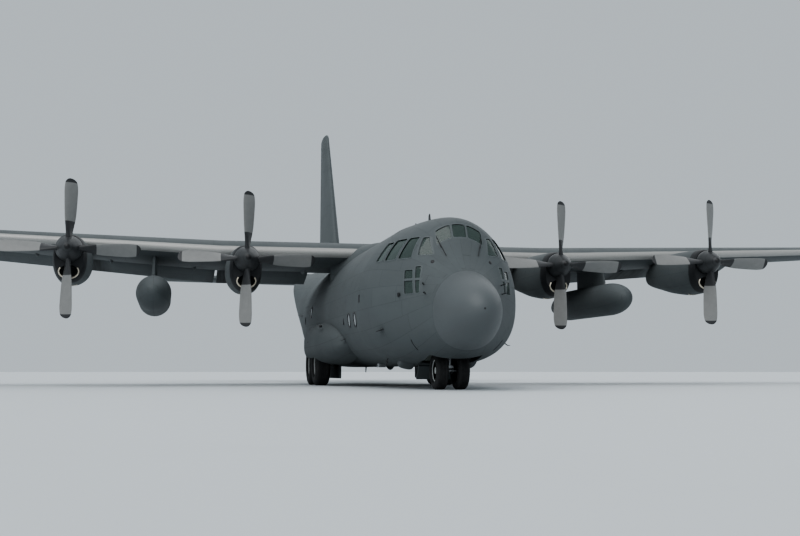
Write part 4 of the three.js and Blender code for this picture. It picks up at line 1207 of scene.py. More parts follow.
def paratroop_hole(gap):
    return door_hole(PARATROOP_DOOR, gap, 0.1, 1.3)


def window_holes(grow=0.0):
    """Tools that cut the cockpit's side windows and windscreen panes, moved outwards by grow."""
    holes = []
    for low, high, (bottom, top) in SIDE_WINDOWS:
        bottom, top = bottom - grow, top + grow
        corners = [(low[0] - grow, bottom), (low[1] + grow, bottom)]
        corners += [(high[1] + grow, top), (high[0] - grow, top)]
        holes += pair(prism(ACROSS, rounded(corners, 0.03 + grow), WINDOW_INNER - grow, 2.4))
    front, rear = PANE_STATIONS
    for left, right in FRONT_PANES:
        outline = rectangle(left - grow, right + grow, front - grow, rear + grow)
        holes.append(prism(UP, rounded(outline, 0.03 + grow), 3.0, 5.0))
    return holes


def main_bay_hole():
    low = (MAIN_BAY["inner"], MAIN_BAY["front"], 0.0)
    return block(low, (MAIN_BAY["outer"], MAIN_BAY["rear"], MAIN_BAY["top"]))


def door_steps():
    """Treads between two cheeks on the crew door's inner face, level once the door is open.

    The face bulges away from its chord by a parabola, which the cheeks' lower edge follows.
    """
    low, high = np.array(DOOR_STEPS["chord"])
    inward = unit(high - low)[::-1] * (-1.0, 1.0)
    angle = math.radians(DOOR_STEPS["opens"])
    level = np.array((math.cos(angle), math.sin(angle)))
    up = level[::-1] * (-1.0, 1.0)

    def face(share):
        return low + (high - low) * share - inward * 4 * DOOR_STEPS["bulge"] * share * (1 - share)

    start, end = DOOR_STEPS["shares"]
    edge = [face(share) - inward * 0.02 for share in np.linspace(start, end, 7)]
    cheek = [low + (high - low) * share + inward * 0.07 for share in (end, start)]
    front, rear = DOOR_STEPS["stations"]
    parts = [prism(AFT, edge + cheek, s, s + 0.025) for s in (front, rear)]
    for foot in map(face, DOOR_STEPS["treads"]):
        outline = [foot, foot + level * 0.2, foot + level * 0.2 - up * 0.03, foot - up * 0.03]
        parts.append(prism(AFT, outline, front + 0.02, rear + 0.005))
    return joined(*parts)


def ramp_floor():
    """An anti-slip plate on the ramp's upper side, with four rails."""
    front, rear = RAMP_HINGE + 0.05, RAMP_END - DOOR_GAP - RAMP_REAR["lean"]
    slope = (RAMP_REAR["top"] - FLOOR_TOP) / (rear - RAMP_HINGE - DOOR_GAP)
    low, high = (FLOOR_TOP + slope * (s - RAMP_HINGE - DOOR_GAP) for s in (front, rear))

    def slab(bottom, top, from_x, to_x):
        outline = [(front, low + bottom), (rear, high + bottom), (rear, high + top), (front, low + top)]
        return prism(ACROSS, outline, from_x, to_x)

    rails = [slab(0.0, 0.04, x - 0.04, x + 0.04) for x in (-1.2, -0.78, 0.78, 1.2)]
    return joined(slab(-0.01, 0.015, -1.36, 1.36), *rails)


def jacking_pad():
    """A round-cornered block under the floor beams, flat below."""
    x, station, half = JACKING_PAD["x"], JACKING_PAD["station"], JACKING_PAD["half"]
    outline = rounded(rectangle(x - half, x + half, station - half, station + half), 0.04)
    return prism(UP, outline, JACKING_PAD["bottom"], JACKING_PAD["top"])


def paratroop_window():
    return prism(ACROSS, oval((16.8, 2.35), 0.15, 0.17), 1.3, 2.4)


def ramp_hole(gap):
    hinge, middle, front = DOOR_PLAN["hinge"] + gap, DOOR_PLAN["middle"] + gap, RAMP_HINGE - 0.05
    return prism(UP, [(-hinge, front), (hinge, front), (middle, RAMP_END), (-middle, RAMP_END)], 0.0, 3.0)


def cargo_door_hole(gap):
    middle, end = DOOR_PLAN["middle"] + gap, DOOR_PLAN["end"] + gap
    front, rear = RAMP_END - 0.05, CARGO_DOOR_END + gap
    return prism(UP, [(-middle, front), (middle, front), (end, rear), (-end, rear)], 0.0, CARGO_DOOR_TOP)


def ramp_sides():
    front, rear = RAMP_HINGE + DOOR_GAP, RAMP_END - DOOR_GAP
    upper = [(rear, RAMP_REAR["bottom"]), (rear - RAMP_REAR["lean"], RAMP_REAR["top"]), (front, FLOOR_TOP)]
    return prism(ACROSS, [(front, 0.0), (rear, 0.0), *upper], -3.0, 3.0)


def roof_fairing(table):
    """Low arches over the roof: rounded boxes about a line inside the body."""
    stations = np.linspace(table[0][0], table[-1][0], 40)
    half, top = monotone(table, stations).T
    return closed_loft(rounded_rings([stations, 0.0, half, FAIRING_FOOT, top - FAIRING_FOOT], 96, 0.85))


class PLANE_OT_wing(bpy.types.Operator):
    """Builds the wing, its ailerons and its flaps"""

    bl_idname = "plane.wing"
    bl_label = "Wing, ailerons and flaps"

    def execute(self, _context):
        paint = wing_material()
        moving = weathered("flap_paint", over_plan, 1.04, (0.8, 0.4), extra=exhaust_stain)
        centre = closed_loft(surface(wing_section, -WING_KINK, WING_KINK, plain_outline, 3))
        bays = pair(bay(wing_section, INNER_FLAP_SPAN[0], WING_KINK + 0.1, flap_bay_outline))
        add_piece("centre_wing_skin", centre, paint, ["centre_wing"], without=bays, sharp=40)

        span = (WING_KINK + SEAM, WING_TIP_NEAR, HALF_SPAN)
        wing = closed_loft(tipped(wing_section, *span, 12, *WING_ROUND))
        parts = {
            "aileron": control(wing_section, AILERON_SPAN),
            "inner_flap": flap(INNER_FLAP_SPAN),
            "outer_flap": flap(OUTER_FLAP_SPAN),
        }
        bays = [
            bay(wing_section, WING_KINK - 0.1, OUTER_FLAP_SPAN[1] + FLAP_END_ROOM, flap_bay_outline),
            bay(wing_section, *AILERON_SPAN, hinge_bay_outline, AILERON_ROOM),
        ]
        for side in SIDES:
            holes, name = [on_side(each, side) for each in bays], f"outer_wing_{side}"
            add_piece(f"outer_wing_skin_{side}", on_side(wing, side), paint, [name], without=holes, sharp=40)
            for kind, part in parts.items():
                name = f"{kind}_{side}"
                add_piece(f"{kind}_skin_{side}", on_side(part, side), moving, [name], body=name, sharp=50)
        return {"FINISHED"}


def flap_pivot(x):
    """Where a flap's turning axis passes a distance from the middle."""
    section = wing_section(x)
    chord, (aft, below) = section["chord"], FLAP_PIVOT
    return np.array((x, section["lead"][1] + aft * chord, section["lead"][2] - below * chord))


def flap(span):
    """A flap lowered to its set angle about its own axis."""
    rings = surface(wing_section, *span, flap_outline, 6)
    return closed_loft(turned(rings, flap_pivot(span[0]), flap_pivot(span[1]), -FLAP_SET))


class PLANE_OT_tail(bpy.types.Operator):
    """Builds the tailplane, the fin, the elevators and the rudder"""

    bl_idname = "plane.tail"
    bl_label = "Tail"

    def execute(self, _context):
        paint = weathered("tail_paint", over_plan, 0.97, (0.5, 0.3), 0.3)
        half = tipped(tail_section, 0.0, TAIL_TIP_NEAR, TAIL_HALF_SPAN, 8, *TAIL_ROUND)
        whole = closed_loft(np.concatenate([half[::-1][:-1] * (-1.0, 1.0, 1.0), half]))
        bays = pair(bay(tail_section, *ELEVATOR_SPAN, hinge_bay_outline, ELEVATOR_ROOM))
        add_piece("tailplane_skin", whole, paint, ["tailplane"], without=bays, sharp=40)
        elevator = control(tail_section, ELEVATOR_SPAN)
        for side in SIDES:
            covered, name = [f"elevator_{side}"], f"elevator_skin_{side}"
            add_piece(name, on_side(elevator, side), paint, covered, body="elevators", sharp=50)

        paint = weathered("fin_paint", over_side, panel=(0.5, 0.28), dirt=0.3)
        body = body_solid(18.0, LENGTH, 0.03)
        fin = closed_loft(tipped(fin_section, FIN_FOOT, FIN_TIP_NEAR, FIN_TIP[0], 8, *FIN_ROUND))
        holes = [bay(fin_section, *RUDDER_HEIGHT, hinge_bay_outline), body]
        add_piece("fin_skin", fin, paint, ["fin"], without=holes, sharp=40)
        add_piece("fin_fillet_skin", fin_fillet(), paint, without=[body], sharp=40)
        rudder = control(fin_section, RUDDER_HEIGHT)
        add_piece("rudder_skin", rudder, paint, ["rudder"], body="rudder", sharp=50)
        return {"FINISHED"}


FIN_FILLET = [(19.6, 0.03, 4.78), (21.5, 0.12, 4.99), (24.4, 0.2, 5.95)]
FIN_FOOT = FIN_ROOT[0] - 0.3


def fin_fillet():
    """The ridge ahead of the fin: its sides lean in on a power of the height from a foot to the ridge."""
    stations = np.linspace(FIN_FILLET[0][0], FIN_FILLET[-1][0], 40)
    half, ridge = monotone(FIN_FILLET, stations).T[:, :, None]
    share = np.linspace(0, 1, 12)[None, :]
    x = 0.012 + (half - 0.012) * (1 - share) ** 1.3
    z = FIN_FOOT + (ridge - FIN_FOOT) * share
    x, z = (np.concatenate(sides, axis=1) for sides in ([x, -x[:, ::-1]], [z, z[:, ::-1]]))
    return closed_loft(stacked(x, stations[:, None], z))


class PLANE_OT_engines(bpy.types.Operator):
    """Builds the nacelles with their intakes and exhausts, and the propellers"""

    bl_idname = "plane.engines"
    bl_label = "Nacelles and propellers"

    def execute(self, _context):
        blade_points, blade_faces = blade()
        for name, (x, z) in ENGINES.items():
            shift, body = np.array((x, 0.0, z)), f"propeller_{name}"
            paint = weathered(
                f"nacelle_paint_{name}", around_pod(x, z - 0.25, 0.62), 0.95, (0.42, 0.24), extra=soiled
            )
            holes, covered = [moved(part, shift) for part in nacelle_holes()], [f"nacelle_{name}"]
            nacelle = moved(nacelle_form(), shift)
            add_piece(f"nacelle_skin_{name}", nacelle, paint, covered, without=holes, sharp=38)
            add_piece(f"nacelle_lips_{name}", moved(nacelle_lips(), shift), coat("lip_metal"))
            pipe = moved(exhaust_pipe(), shift)
            add_piece(f"exhaust_pipe_{name}", pipe, coat("burnt_metal"))
            hub = shift + (0.0, PROPELLER_STATION, 0.0)
            spinner, paint = lathe(spinner_profile(), hub, AFT), spinner_material("spinner_paint")
            add_piece(f"spinner_{name}", spinner, paint, [body], body=body)
            turns = [turned(blade_points, (0, 0, 0), AFT, 90 * quarter) + hub for quarter in range(4)]
            blades = joined(*((points, blade_faces) for points in turns))
            paint = blade_material(f"blade_paint_{name}", x, z)
            add_piece(f"blades_{name}", blades, paint, body=body, sharp=60)
        return {"FINISHED"}


def nacelle_form():
    """Rounded boxes along the thrust line, with an edge at the front that shrinks on a quarter circle."""
    stations = np.linspace(NACELLE[0][0], NACELLE[-1][0], 56)
    width, top, bottom = monotone(NACELLE, stations).T
    edge = np.clip((stations - stations[0]) / 0.09, 0, 1)
    shrink = 1 - 0.035 * (1 - np.sqrt(1 - (1 - edge) ** 2))
    tail = np.clip((stations[-1] - stations) / 0.5, 0, 1)
    shrink = shrink * (0.86 + 0.14 * np.sqrt(1 - (1 - tail) ** 2))
    section = [stations, 0.0, width * shrink, (top + bottom) / 2, (top - bottom) / 2 * shrink]
    return closed_loft(rounded_rings(section, 72, 0.85))


def nacelle_holes():
    """What the intake duct, the gap round the spinner, the outlet and the exhaust take out of a nacelle."""
    half_width, half_height, height, depth = INTAKE
    front = NACELLE[0][0]
    duct = prism(AFT, oval((0.0, height), half_width, half_height), front - 0.1, front + depth)
    throat = lathe([(0.0, 0.385), (0.12, 0.385)], (0.0, front - 0.05, 0.0), AFT)
    lip = outlet_lip()[:, :2]
    outlet = prism(UP, np.concatenate([lip, lip[::-1] - (0.0, 0.13)]), -1.2, -0.9)
    radius, start, end, front_drop, rear_drop = EXHAUST
    return [duct, throat, outlet, rod([(0.0, start, front_drop), (0.0, end, rear_drop)], radius, 48)]


def nacelle_lips():
    """A bright bead round the lower part of the intake, and one along the outlet behind it."""
    half_width, half_height, height, _depth = INTAKE
    angle = np.radians(np.linspace(-212, 32, 56))
    x, z = (half_width + 0.01) * np.cos(angle), height + (half_height + 0.01) * np.sin(angle)
    return joined(rod(stacked(x, NACELLE[0][0] + 0.004, z), 0.026, 16), rod(outlet_lip(), 0.013, 12))


def outlet_lip():
    """The curved rear edge of the outlet under a nacelle: aft in the middle and ahead at its ends."""
    x = np.linspace(-0.18, 0.18, 17)
    bend = (x / 0.18) ** 2
    return np.column_stack([x, 9.76 - 0.09 * bend, -0.998 + 0.028 * bend])


def exhaust_pipe():
    """A thin-walled pipe with a rolled rim that ends a little aft of the nacelle."""
    radius, start, end, front_drop, rear_drop = EXHAUST
    wall = 0.02
    stations = np.linspace(12.0, NACELLE[-1][0] + 0.03, 12)[:, None]
    height = front_drop + (rear_drop - front_drop) / (end - start) * (stations - start)
    angle = turn_steps(64)

    def rings(size):
        return stacked(size * np.cos(angle), stations, height + size * np.sin(angle))

    rim = rings(radius - wall / 2)[-1]
    return joined(closed_shell(rings(radius - 0.002), rings(radius - wall)), ring_tube(rim, 0.016, 12))


SPINNER = [
    (-0.52, 0.0005),
    (-0.515, 0.025),
    (-0.495, 0.06),
    (-0.4, 0.15),
    (-0.22, 0.255),
    (-0.03, 0.335),
    (0.14, 0.385),
    (0.23, 0.39),
]
# Blade sections: radius, chord, thickness share, angle from the disc
BLADE = [
    (0.2, 0.19, 0.9, 62.0),
    (0.48, 0.3, 0.34, 56.0),
    (1.0, 0.43, 0.13, 44.0),
    (1.65, 0.44, 0.08, 33.0),
    (PROPELLER_RADIUS, 0.35, 0.06, 27.0),
]


def spinner_profile():
    """The spinner's outline on a finer spacing, with a flat rear."""
    stations = np.linspace(SPINNER[0][0], SPINNER[-1][0], 48)
    return np.column_stack([stations, monotone(SPINNER, stations)[:, 0]])


def blade():
    """A blade that stands up from the hub: foil sections that turn as they go out, with a rounded tip."""
    past = 0.93 + 0.07 * np.sin(np.linspace(0.1, 1, 10) * np.pi / 2)
    radius = BLADE[0][0] + np.concatenate([np.linspace(0, 0.93, 30), past]) * (PROPELLER_RADIUS - BLADE[0][0])
    chord, thickness, degrees = monotone(BLADE, radius).T[:, :, None]
    past = np.clip((radius - (PROPELLER_RADIUS - 0.16)) / 0.16, 0, 1)[:, None]
    narrow = np.sqrt(np.maximum(1 - past**2, 0.02))
    u, w = foil_outline(1.0, 0.0, 14).T[:, None, :]
    angle = np.radians(degrees)
    along = (u - 0.4) * chord * narrow
    across = w * chord * thickness * narrow + foil_camber(u, 0.01) * chord
    x = along * np.cos(angle) + across * np.sin(angle)
    y = along * np.sin(angle) - across * np.cos(angle)
    return closed_loft(stacked(x, y, radius[:, None]))


class PLANE_OT_tanks(bpy.types.Operator):
    """Builds the external tanks and their pylons"""

    bl_idname = "plane.tanks"
    bl_label = "Tanks and pylons"

    def execute(self, _context):
        tank = lathe(tank_profile(), (TANK["x"], TANK["front"], TANK["z"]), AFT)
        for side, sign in SIDES.items():
            around = around_pod(sign * TANK["x"], TANK["z"], TANK["radius"])
            paint = weathered(f"tank_paint_{side}", around, 0.95, (0.62, 0.29), 0.35)
            add_piece(f"tank_skin_{side}", on_side(tank, side), paint, [f"tank_{side}"])
            strut, covered = on_side(pylon(), side), [f"tank_pylon_{side}"]
            add_piece(f"tank_pylon_skin_{side}", strut, wing_material(), covered, sharp=50)
        return {"FINISHED"}


def tank_profile():
    """A quarter ellipse ahead, an even middle and a tail that narrows on a power of its length's share."""
    radius, nose, tail, length = TANK["radius"], TANK["nose"], TANK["tail"], TANK["length"]
    angle = np.linspace(0.02, np.pi / 2, 24)
    front = np.column_stack([nose * (1 - np.cos(angle)), radius * np.sin(angle)])
    share = np.linspace(0, 0.995, 28)
    rear = np.column_stack([tail + share * (length - tail), radius * (1 - share**1.6)])
    return np.concatenate([front, rear])


def pylon():
    """A thin foil between the tank and the wing."""
    rings = []
    for z, end in ((TANK["z"], "low"), (PYLON["high"], "high")):
        section = straight_section((TANK["x"], PYLON[f"{end}_lead"], z), PYLON[f"{end}_chord"], ACROSS)
        rings.append(place(section, foil_outline(0.07, 0.0)))
    return closed_loft(ruled(*rings, 6))


class PLANE_OT_gear(bpy.types.Operator):
    """Builds the sponsons, the wheel bays, the legs, the wheels and the gear doors"""

    bl_idname = "plane.gear"
    bl_label = "Landing gear"

    def execute(self, _context):
        paint, white, metal = skin_material(), coat("gear_paint"), coat("gear_steel")
        body = body_solid(7.0, 17.0, 0.03)
        for side, sign in SIDES.items():
            outside = [on_side(block((SPONSON_INNER, 0.0, 0.0), (3.0, LENGTH, 3.0)), side)]
            holes, form = [body, on_side(main_bay_hole(), side)], on_side(sponson_form(), side)
            add_piece(f"sponson_skin_{side}", form, paint, [f"sponson_{side}"], outside, holes)
            door, covered = on_side(main_door(), side), [f"main_gear_door_{side}"]
            add_piece(f"main_gear_door_skin_{side}", door, paint, covered, without=[body_solid(7.0, 17.0)])
            legs, covered = on_side(main_legs(), side), [f"main_legs_{side}"]
            add_piece(f"main_legs_skin_{side}", legs, white, covered)
            for place_name, station in zip(("front", "rear"), MAIN_AXLE["stations"]):
                centre = (sign * MAIN_AXLE["x"], station, MAIN_AXLE["radius"])
                name = f"{place_name}_main_wheel_{side}"
                add_wheel(name, centre, MAIN_AXLE, name, sign, [name])
        add_bay_liners()

        add_piece("nose_leg_skin", nose_leg(), white, ["nose_leg"])
        fork = nose_fork()
        add_piece("nose_fork_skin", fork, metal, ["nose_fork"], body="nose_steering")
        half, middle = NOSE_AXLE["x"], (NOSE_AXLE["station"], NOSE_AXLE["radius"])
        for side, sign in SIDES.items():
            covered = ["nose_wheels"] if sign > 0 else []
            add_wheel(f"nose_wheel_{side}", (sign * half, *middle), NOSE_AXLE, "nose_wheels", sign, covered)
        axle = rod([(-half, *middle), (half, *middle)], 0.045)
        add_piece("nose_axle", axle, metal, body="nose_wheels")
        holes = [body_solid(1.6, 5.9, -0.001)]
        add_piece("nose_gear_door_skin", nose_door(), paint, ["nose_gear_door"], without=holes)
        return {"FINISHED"}


def sponson_form():
    """Squarish ovals about a line inside the body, from a table of outermost, top and bottom."""
    stations = np.linspace(SPONSON[0][0], SPONSON[-1][0], 64)
    outer, top, bottom = monotone(SPONSON, stations).T
    half = (top - bottom) / 2
    for past in (stations - stations[0], stations[-1] - stations):
        share = np.clip(past / 0.5, 0, 1)
        half = half * (0.75 + 0.25 * np.sqrt(share * (2 - share)))
    section = [stations, SPONSON_MIDDLE, outer - SPONSON_MIDDLE, (top + bottom) / 2, half]
    return closed_loft(rounded_rings(section, 96, SPONSON_POWER))


def add_bay_liners():
    """Sheet round the wheel bays, trimmed by the body's skin and open below."""
    half, front, rear, top = (NOSE_BAY[key] for key in ("half_width", "front", "rear", "top"))
    bays = [((-half, front, 0.0), (half, rear, top))]
    for sign in SIDES.values():
        near, far = sorted((sign * MAIN_BAY["inner"], sign * 2.3))
        bays.append(((near, MAIN_BAY["front"], 0.0), (far, MAIN_BAY["rear"], MAIN_BAY["top"])))
    outside = joined(*(block(np.subtract(low, BAY_WALL), np.add(high, BAY_WALL)) for low, high in bays))
    holes, inside = [block(low - UP, high) for low, high in bays], [body_solid(2.0, 15.5, SKIN / 2)]
    add_piece("wheel_bay_liners", outside, coat("bay_paint"), (), inside, holes)


MAIN_DOOR = {"inner": 1.585, "thickness": 0.04, "bottom": 0.23, "margin": 0.06}


def main_door():
    """A plate with rounded lower corners that hangs beside the wheels, inboard."""
    front, rear = MAIN_BAY["front"] + MAIN_DOOR["margin"], MAIN_BAY["rear"] - MAIN_DOOR["margin"]
    outline = rounded(rectangle(front, rear, MAIN_DOOR["bottom"], 0.71), 0.12)
    inner = MAIN_DOOR["inner"]
    return prism(ACROSS, outline, inner, inner + MAIN_DOOR["thickness"])


NOSE_DOOR = {"half_width": 0.64, "top": 0.606, "run": 0.33, "drop": 0.35, "thickness": 0.04}


def nose_door():
    """A plate that slopes down and aft from the rear edge of the nose wheel bay."""
    run, drop, thickness, top = (NOSE_DOOR[key] for key in ("run", "drop", "thickness", "top"))
    hinge = NOSE_BAY["rear"] + thickness
    outline = [
        (hinge, top),
        (hinge + run, top - drop),
        (hinge + run + thickness, top - drop + thickness / 2),
        (hinge + thickness, top + thickness),
    ]
    return prism(ACROSS, outline, -NOSE_DOOR["half_width"], NOSE_DOOR["half_width"])


def main_legs():
    """Two upright struts with pistons, stub axles, braces and a beam between them."""
    x, top, axle = 1.775, MAIN_BAY["top"] - SEAM, MAIN_AXLE["radius"]
    parts = []
    for station in MAIN_AXLE["stations"]:
        parts.append(rod([(x, station, 0.65), (x, station, 0.98)], 0.062, 32))
        parts.append(rod([(x, station, 0.96), (x, station, 1.0), (x, station, top)], 0.08, 32))
        parts.append(rod([(x, station, axle), (2.33, station, axle)], 0.06, 32))
        parts.append(rod([(x, station, 1.0), (x, station + 0.42, 1.54)], 0.035, 20))
        link = [(x, station - 0.075, 1.02), (x, station - 0.2, 0.86), (x, station - 0.07, 0.7)]
        parts.append(rod(link, 0.024, 12))
    front, rear = MAIN_AXLE["stations"]
    parts.append(block((x - 0.07, front - 0.06, 1.47), (x + 0.06, rear + 0.5, 1.58)))
    return joined(*parts)


def nose_leg():
    """The fixed cylinder of the nose leg with a drag brace ahead and a trunnion across its top."""
    s, top = NOSE_AXLE["station"], NOSE_BAY["top"] - SEAM
    trunnion = top - 0.055
    return joined(
        rod([(0, s, 0.95), (0, s, 1.0), (0, s, 1.001), (0, s, top)], [0.112, 0.112, 0.098, 0.098], 40),
        rod([(0, s, 1.1), (0, NOSE_BAY["front"] + 0.06, 1.64)], 0.045, 24),
        rod([(-0.33, s, trunnion), (0.33, s, trunnion)], 0.055, 28),
    )


def nose_fork():
    """The sliding piston, the axle's lug and the torque link behind it."""
    s, axle = NOSE_AXLE["station"], NOSE_AXLE["radius"]
    eye = oval((s, axle), 0.09, 0.09)
    return joined(
        prism(ACROSS, eye, -0.085, -0.058),
        prism(ACROSS, eye, 0.058, 0.085),
        rod([(0, s, axle + 0.062), (0, s, 0.9494)], 0.07, 32),
        block((-0.084, s - 0.085, axle + 0.062), (0.084, s + 0.085, axle + 0.13)),
        block((-0.0425, s, axle + 0.13), (0.0425, s + 0.19, axle + 0.19)),
        rod([(0, s + 0.16, axle + 0.16), (0, s + 0.06, 0.9)], 0.03, 20),
    )


def tyre_profile(radius, half):
    """Distances along the axle from the middle, and radii.

    The tyre's shoulders are ellipses; its tread has four grooves round it.
    """
    angle = np.linspace(-0.32, 1.0, 18) * np.pi / 2
    middle = radius - 0.24 * radius
    shoulder = half * (0.56 + 0.44 * np.cos(angle))
    flank = np.column_stack([shoulder, middle + (radius - middle) * np.sin(angle)])
    steps = ((0.035, 0.0), (0.025, 0.022), (-0.025, 0.022), (-0.035, 0.0))
    tread = [((groove + x) * half, radius * (1 - depth)) for groove in (0.36, 0.12) for x, depth in steps]
    right = np.concatenate([[(half * 0.62, 0.56 * radius)], flank, tread])
    return np.concatenate([right, right[::-1] * (-1.0, 1.0)])[::-1]


# A hub's rim, disc and cap: shares of the wheel's half width and of its radius
HUB = [
    (0.62, 0.56),
    (0.72, 0.57),
    (0.72, 0.53),
    (0.5, 0.48),
    (0.38, 0.4),
    (0.42, 0.22),
    (0.62, 0.18),
    (0.66, 0.02),
    (-0.62, 0.02),
    (-0.62, 0.56),
]


def add_wheel(name, centre, size, body, sign, covered):
    """A tyre that stands for the CAD wheel, and a hub with a rim, a disc and a cap."""
    radius, half = size["radius"], size["width"] / 2
    tyre, rubber = lathe(tyre_profile(radius, half), centre, ACROSS, 96), tyre_material("tyre_rubber")
    add_piece(f"{name}_tyre", tyre, rubber, covered, body=body, sharp=30)
    hub = lathe(np.array(HUB) * (sign * half, radius), centre, ACROSS, 72)
    add_piece(f"{name}_hub", hub, coat("gear_paint"), body=body, sharp=25)


class PLANE_OT_glazing(bpy.types.Operator):
    """Builds the windows with their frames"""

    bl_idname = "plane.glazing"
    bl_label = "Windows"

    def execute(self, _context):
        frame_paint = coated("frame_paint", rgba(colours().paint, 1.15)[:3], 0.5)
        bar = prism(ACROSS, rectangle(*LOWER_WINDOW_BAR), WINDOW_INNER, 2.4)
        panes, holes = [joined(*window_holes())], [joined(*window_holes(FRAME_WIDTH))]
        covered, glass = ["cockpit_glazing"], glass_material("window_glass")
        add_piece("cockpit_panes", body_shell(1.7, 4.5, 0.022, 0.04), glass, covered, panes)
        add_piece("window_frames", body_shell(1.7, 4.5, -0.007, 0.03), frame_paint, (), holes, panes)
        add_piece("window_bars", body_shell(1.7, 4.5, -0.003, 0.03), frame_paint, (), [joined(*pair(bar))])
        return {"FINISHED"}


def cushion(low, high, power=0.35):
    """A padded block: a sphere's sines and cosines raised to a power, stretched between two corners."""
    low, high = np.asarray(low, float), np.asarray(high, float)
    up = np.linspace(-0.49, 0.49, 15)[:, None] * np.pi
    angle = turn_steps(32)[None, :]
    waves = (np.cos(angle), np.sin(angle), np.sin(up), np.cos(up))
    x, s, z, size = (signed_power(wave, power) for wave in waves)
    return closed_loft((low + high) / 2 + stacked(size * x, size * s, z) * (high - low) / 2)


class PLANE_OT_interior(bpy.types.Operator):
    """Builds the flight deck's seats, panel and controls, and the ribs and floor fittings of the hold"""

    bl_idname = "plane.interior"
    bl_label = "Flight deck and hold"

    def execute(self, _context):
        deck, cabin = FLIGHT_DECK_TOP, coat("cabin_paint")
        room = [body_solid(1.75, COCKPIT_END, SKIN + 0.04)]
        floor = block((-2.2, 1.8, deck - 0.06), (2.2, COCKPIT_END - 0.1, deck))
        add_piece("flight_deck_floor", floor, cabin, ["flight_deck"], room)
        seats, controls = [], []
        for x in (-0.72, 0.72):
            seats.append(cushion((x - 0.25, 2.95, deck + 0.33), (x + 0.25, 3.45, deck + 0.47)))
            seats.append(cushion((x - 0.24, 3.36, deck + 0.42), (x + 0.24, 3.48, deck + 1.05)))
            seats.append(cushion((x - 0.15, 3.36, deck + 1.06), (x + 0.15, 3.47, deck + 1.27)))
            for arm in (x - 0.27, x + 0.27):
                seats.append(cushion((arm - 0.03, 3.05, deck + 0.6), (arm + 0.03, 3.4, deck + 0.65)))
            yoke = np.insert(oval((x, deck + 0.78), 0.16, 0.1, 40), 1, 2.62, axis=1)
            controls.append(block((x - 0.2, 3.0, deck - 0.01), (x + 0.2, 3.4, deck + 0.36)))
            controls.append(ring_tube(yoke, 0.014))
            controls.append(rod([(x, 2.62, deck + 0.78), (x, 2.6, deck + 0.4), (x, 2.5, deck)], 0.025, 16))
            controls.append(rod([(x - 0.15, 2.62, deck + 0.78), (x + 0.15, 2.62, deck + 0.78)], 0.012, 12))
        add_piece("flight_deck_seats", joined(*seats), coat("seat_cloth"))
        add_piece("flight_deck_controls", joined(*controls), coat("black_paint"))
        panel = joined(
            cushion((-1.1, 2.12, deck + 0.45), (1.1, 2.34, deck + 0.82), 0.15),
            cushion((-1.15, 2.05, deck + 0.8), (1.15, 2.42, deck + 0.88), 0.15),
            cushion((-0.23, 2.3, deck), (0.23, 3.3, deck + 0.6), 0.15),
            cushion((-0.4, 2.6, deck + 1.9), (0.4, 3.6, deck + 2.0), 0.2),
        )
        add_piece("flight_deck_panel", panel, cabin, (), room)
        places = [(x, 2.332, z) for x in np.linspace(-0.95, 0.95, 12) for z in (deck + 0.54, deck + 0.7)]
        dials = [lathe([(0.0, 0.055), (0.012, 0.06), (0.02, 0.06)], place_at, AFT, 24) for place_at in places]
        add_piece("flight_deck_dials", joined(*dials), coat("dial_glass"))

        ribs = [rib(station, 0.085, 0.17) for station in np.arange(6.3, 17.2, 0.62)]
        ribs += [rib(station, AFT_SKIN - 0.01, 0.15) for station in np.arange(20.8, 27.0, 0.62)]
        holes = [block((-1.56, 5.0, 0.0), (1.56, 17.6, FLOOR_TOP + 0.02)), cargo_door_hole(0.02)]
        holes += pair(paratroop_hole(0.02))
        add_piece("hold_ribs", joined(*ribs), cabin, without=holes)
        top = FLOOR_TOP
        rails = [block((x - 0.05, 6.0, top), (x + 0.05, 17.3, top + 0.025)) for x in (-1.3, -0.78, 0.78, 1.3)]
        for x in (-1.04, 1.04):
            for station in np.arange(6.2, 17.2, 0.25):
                roller = [(x - 0.16, station, top + 0.02), (x + 0.16, station, top + 0.02)]
                rails.append(rod(roller, 0.03, 12))
        add_piece("hold_rails", joined(*rails), coat("gear_steel"))
        cloth = cushion((1.42, 7.0, top + 0.42), (1.86, 15.4, top + 0.48), 0.12)
        back = cushion((1.84, 7.0, top + 0.5), (1.9, 15.4, top + 1.2), 0.12)
        add_piece("hold_seats", both(cloth, back), coat("seat_webbing"))
        legs = [rod([(1.46, s, top), (1.46, s, top + 0.43)], 0.018, 12) for s in np.arange(7.1, 15.4, 1.18)]
        bar = rod([(1.43, 7.0, top + 0.45), (1.43, 15.4, top + 0.45)], 0.02, 12)
        add_piece("hold_seat_frames", both(*legs, bar), coat("bare_metal"))
        refinish("cargo_floor", tread_plate("tread_plate"))
        for name in ENGINES:
            refinish(f"engine_{name}", coat("engine_casing"))
        return {"FINISHED"}


def rib(station, outer, inner, width=0.05):
    """A hoop that follows the inside of the body's skin."""
    stations = np.array([station, station + width])
    return closed_shell(body_rings(stations, outer), body_rings(stations, inner))


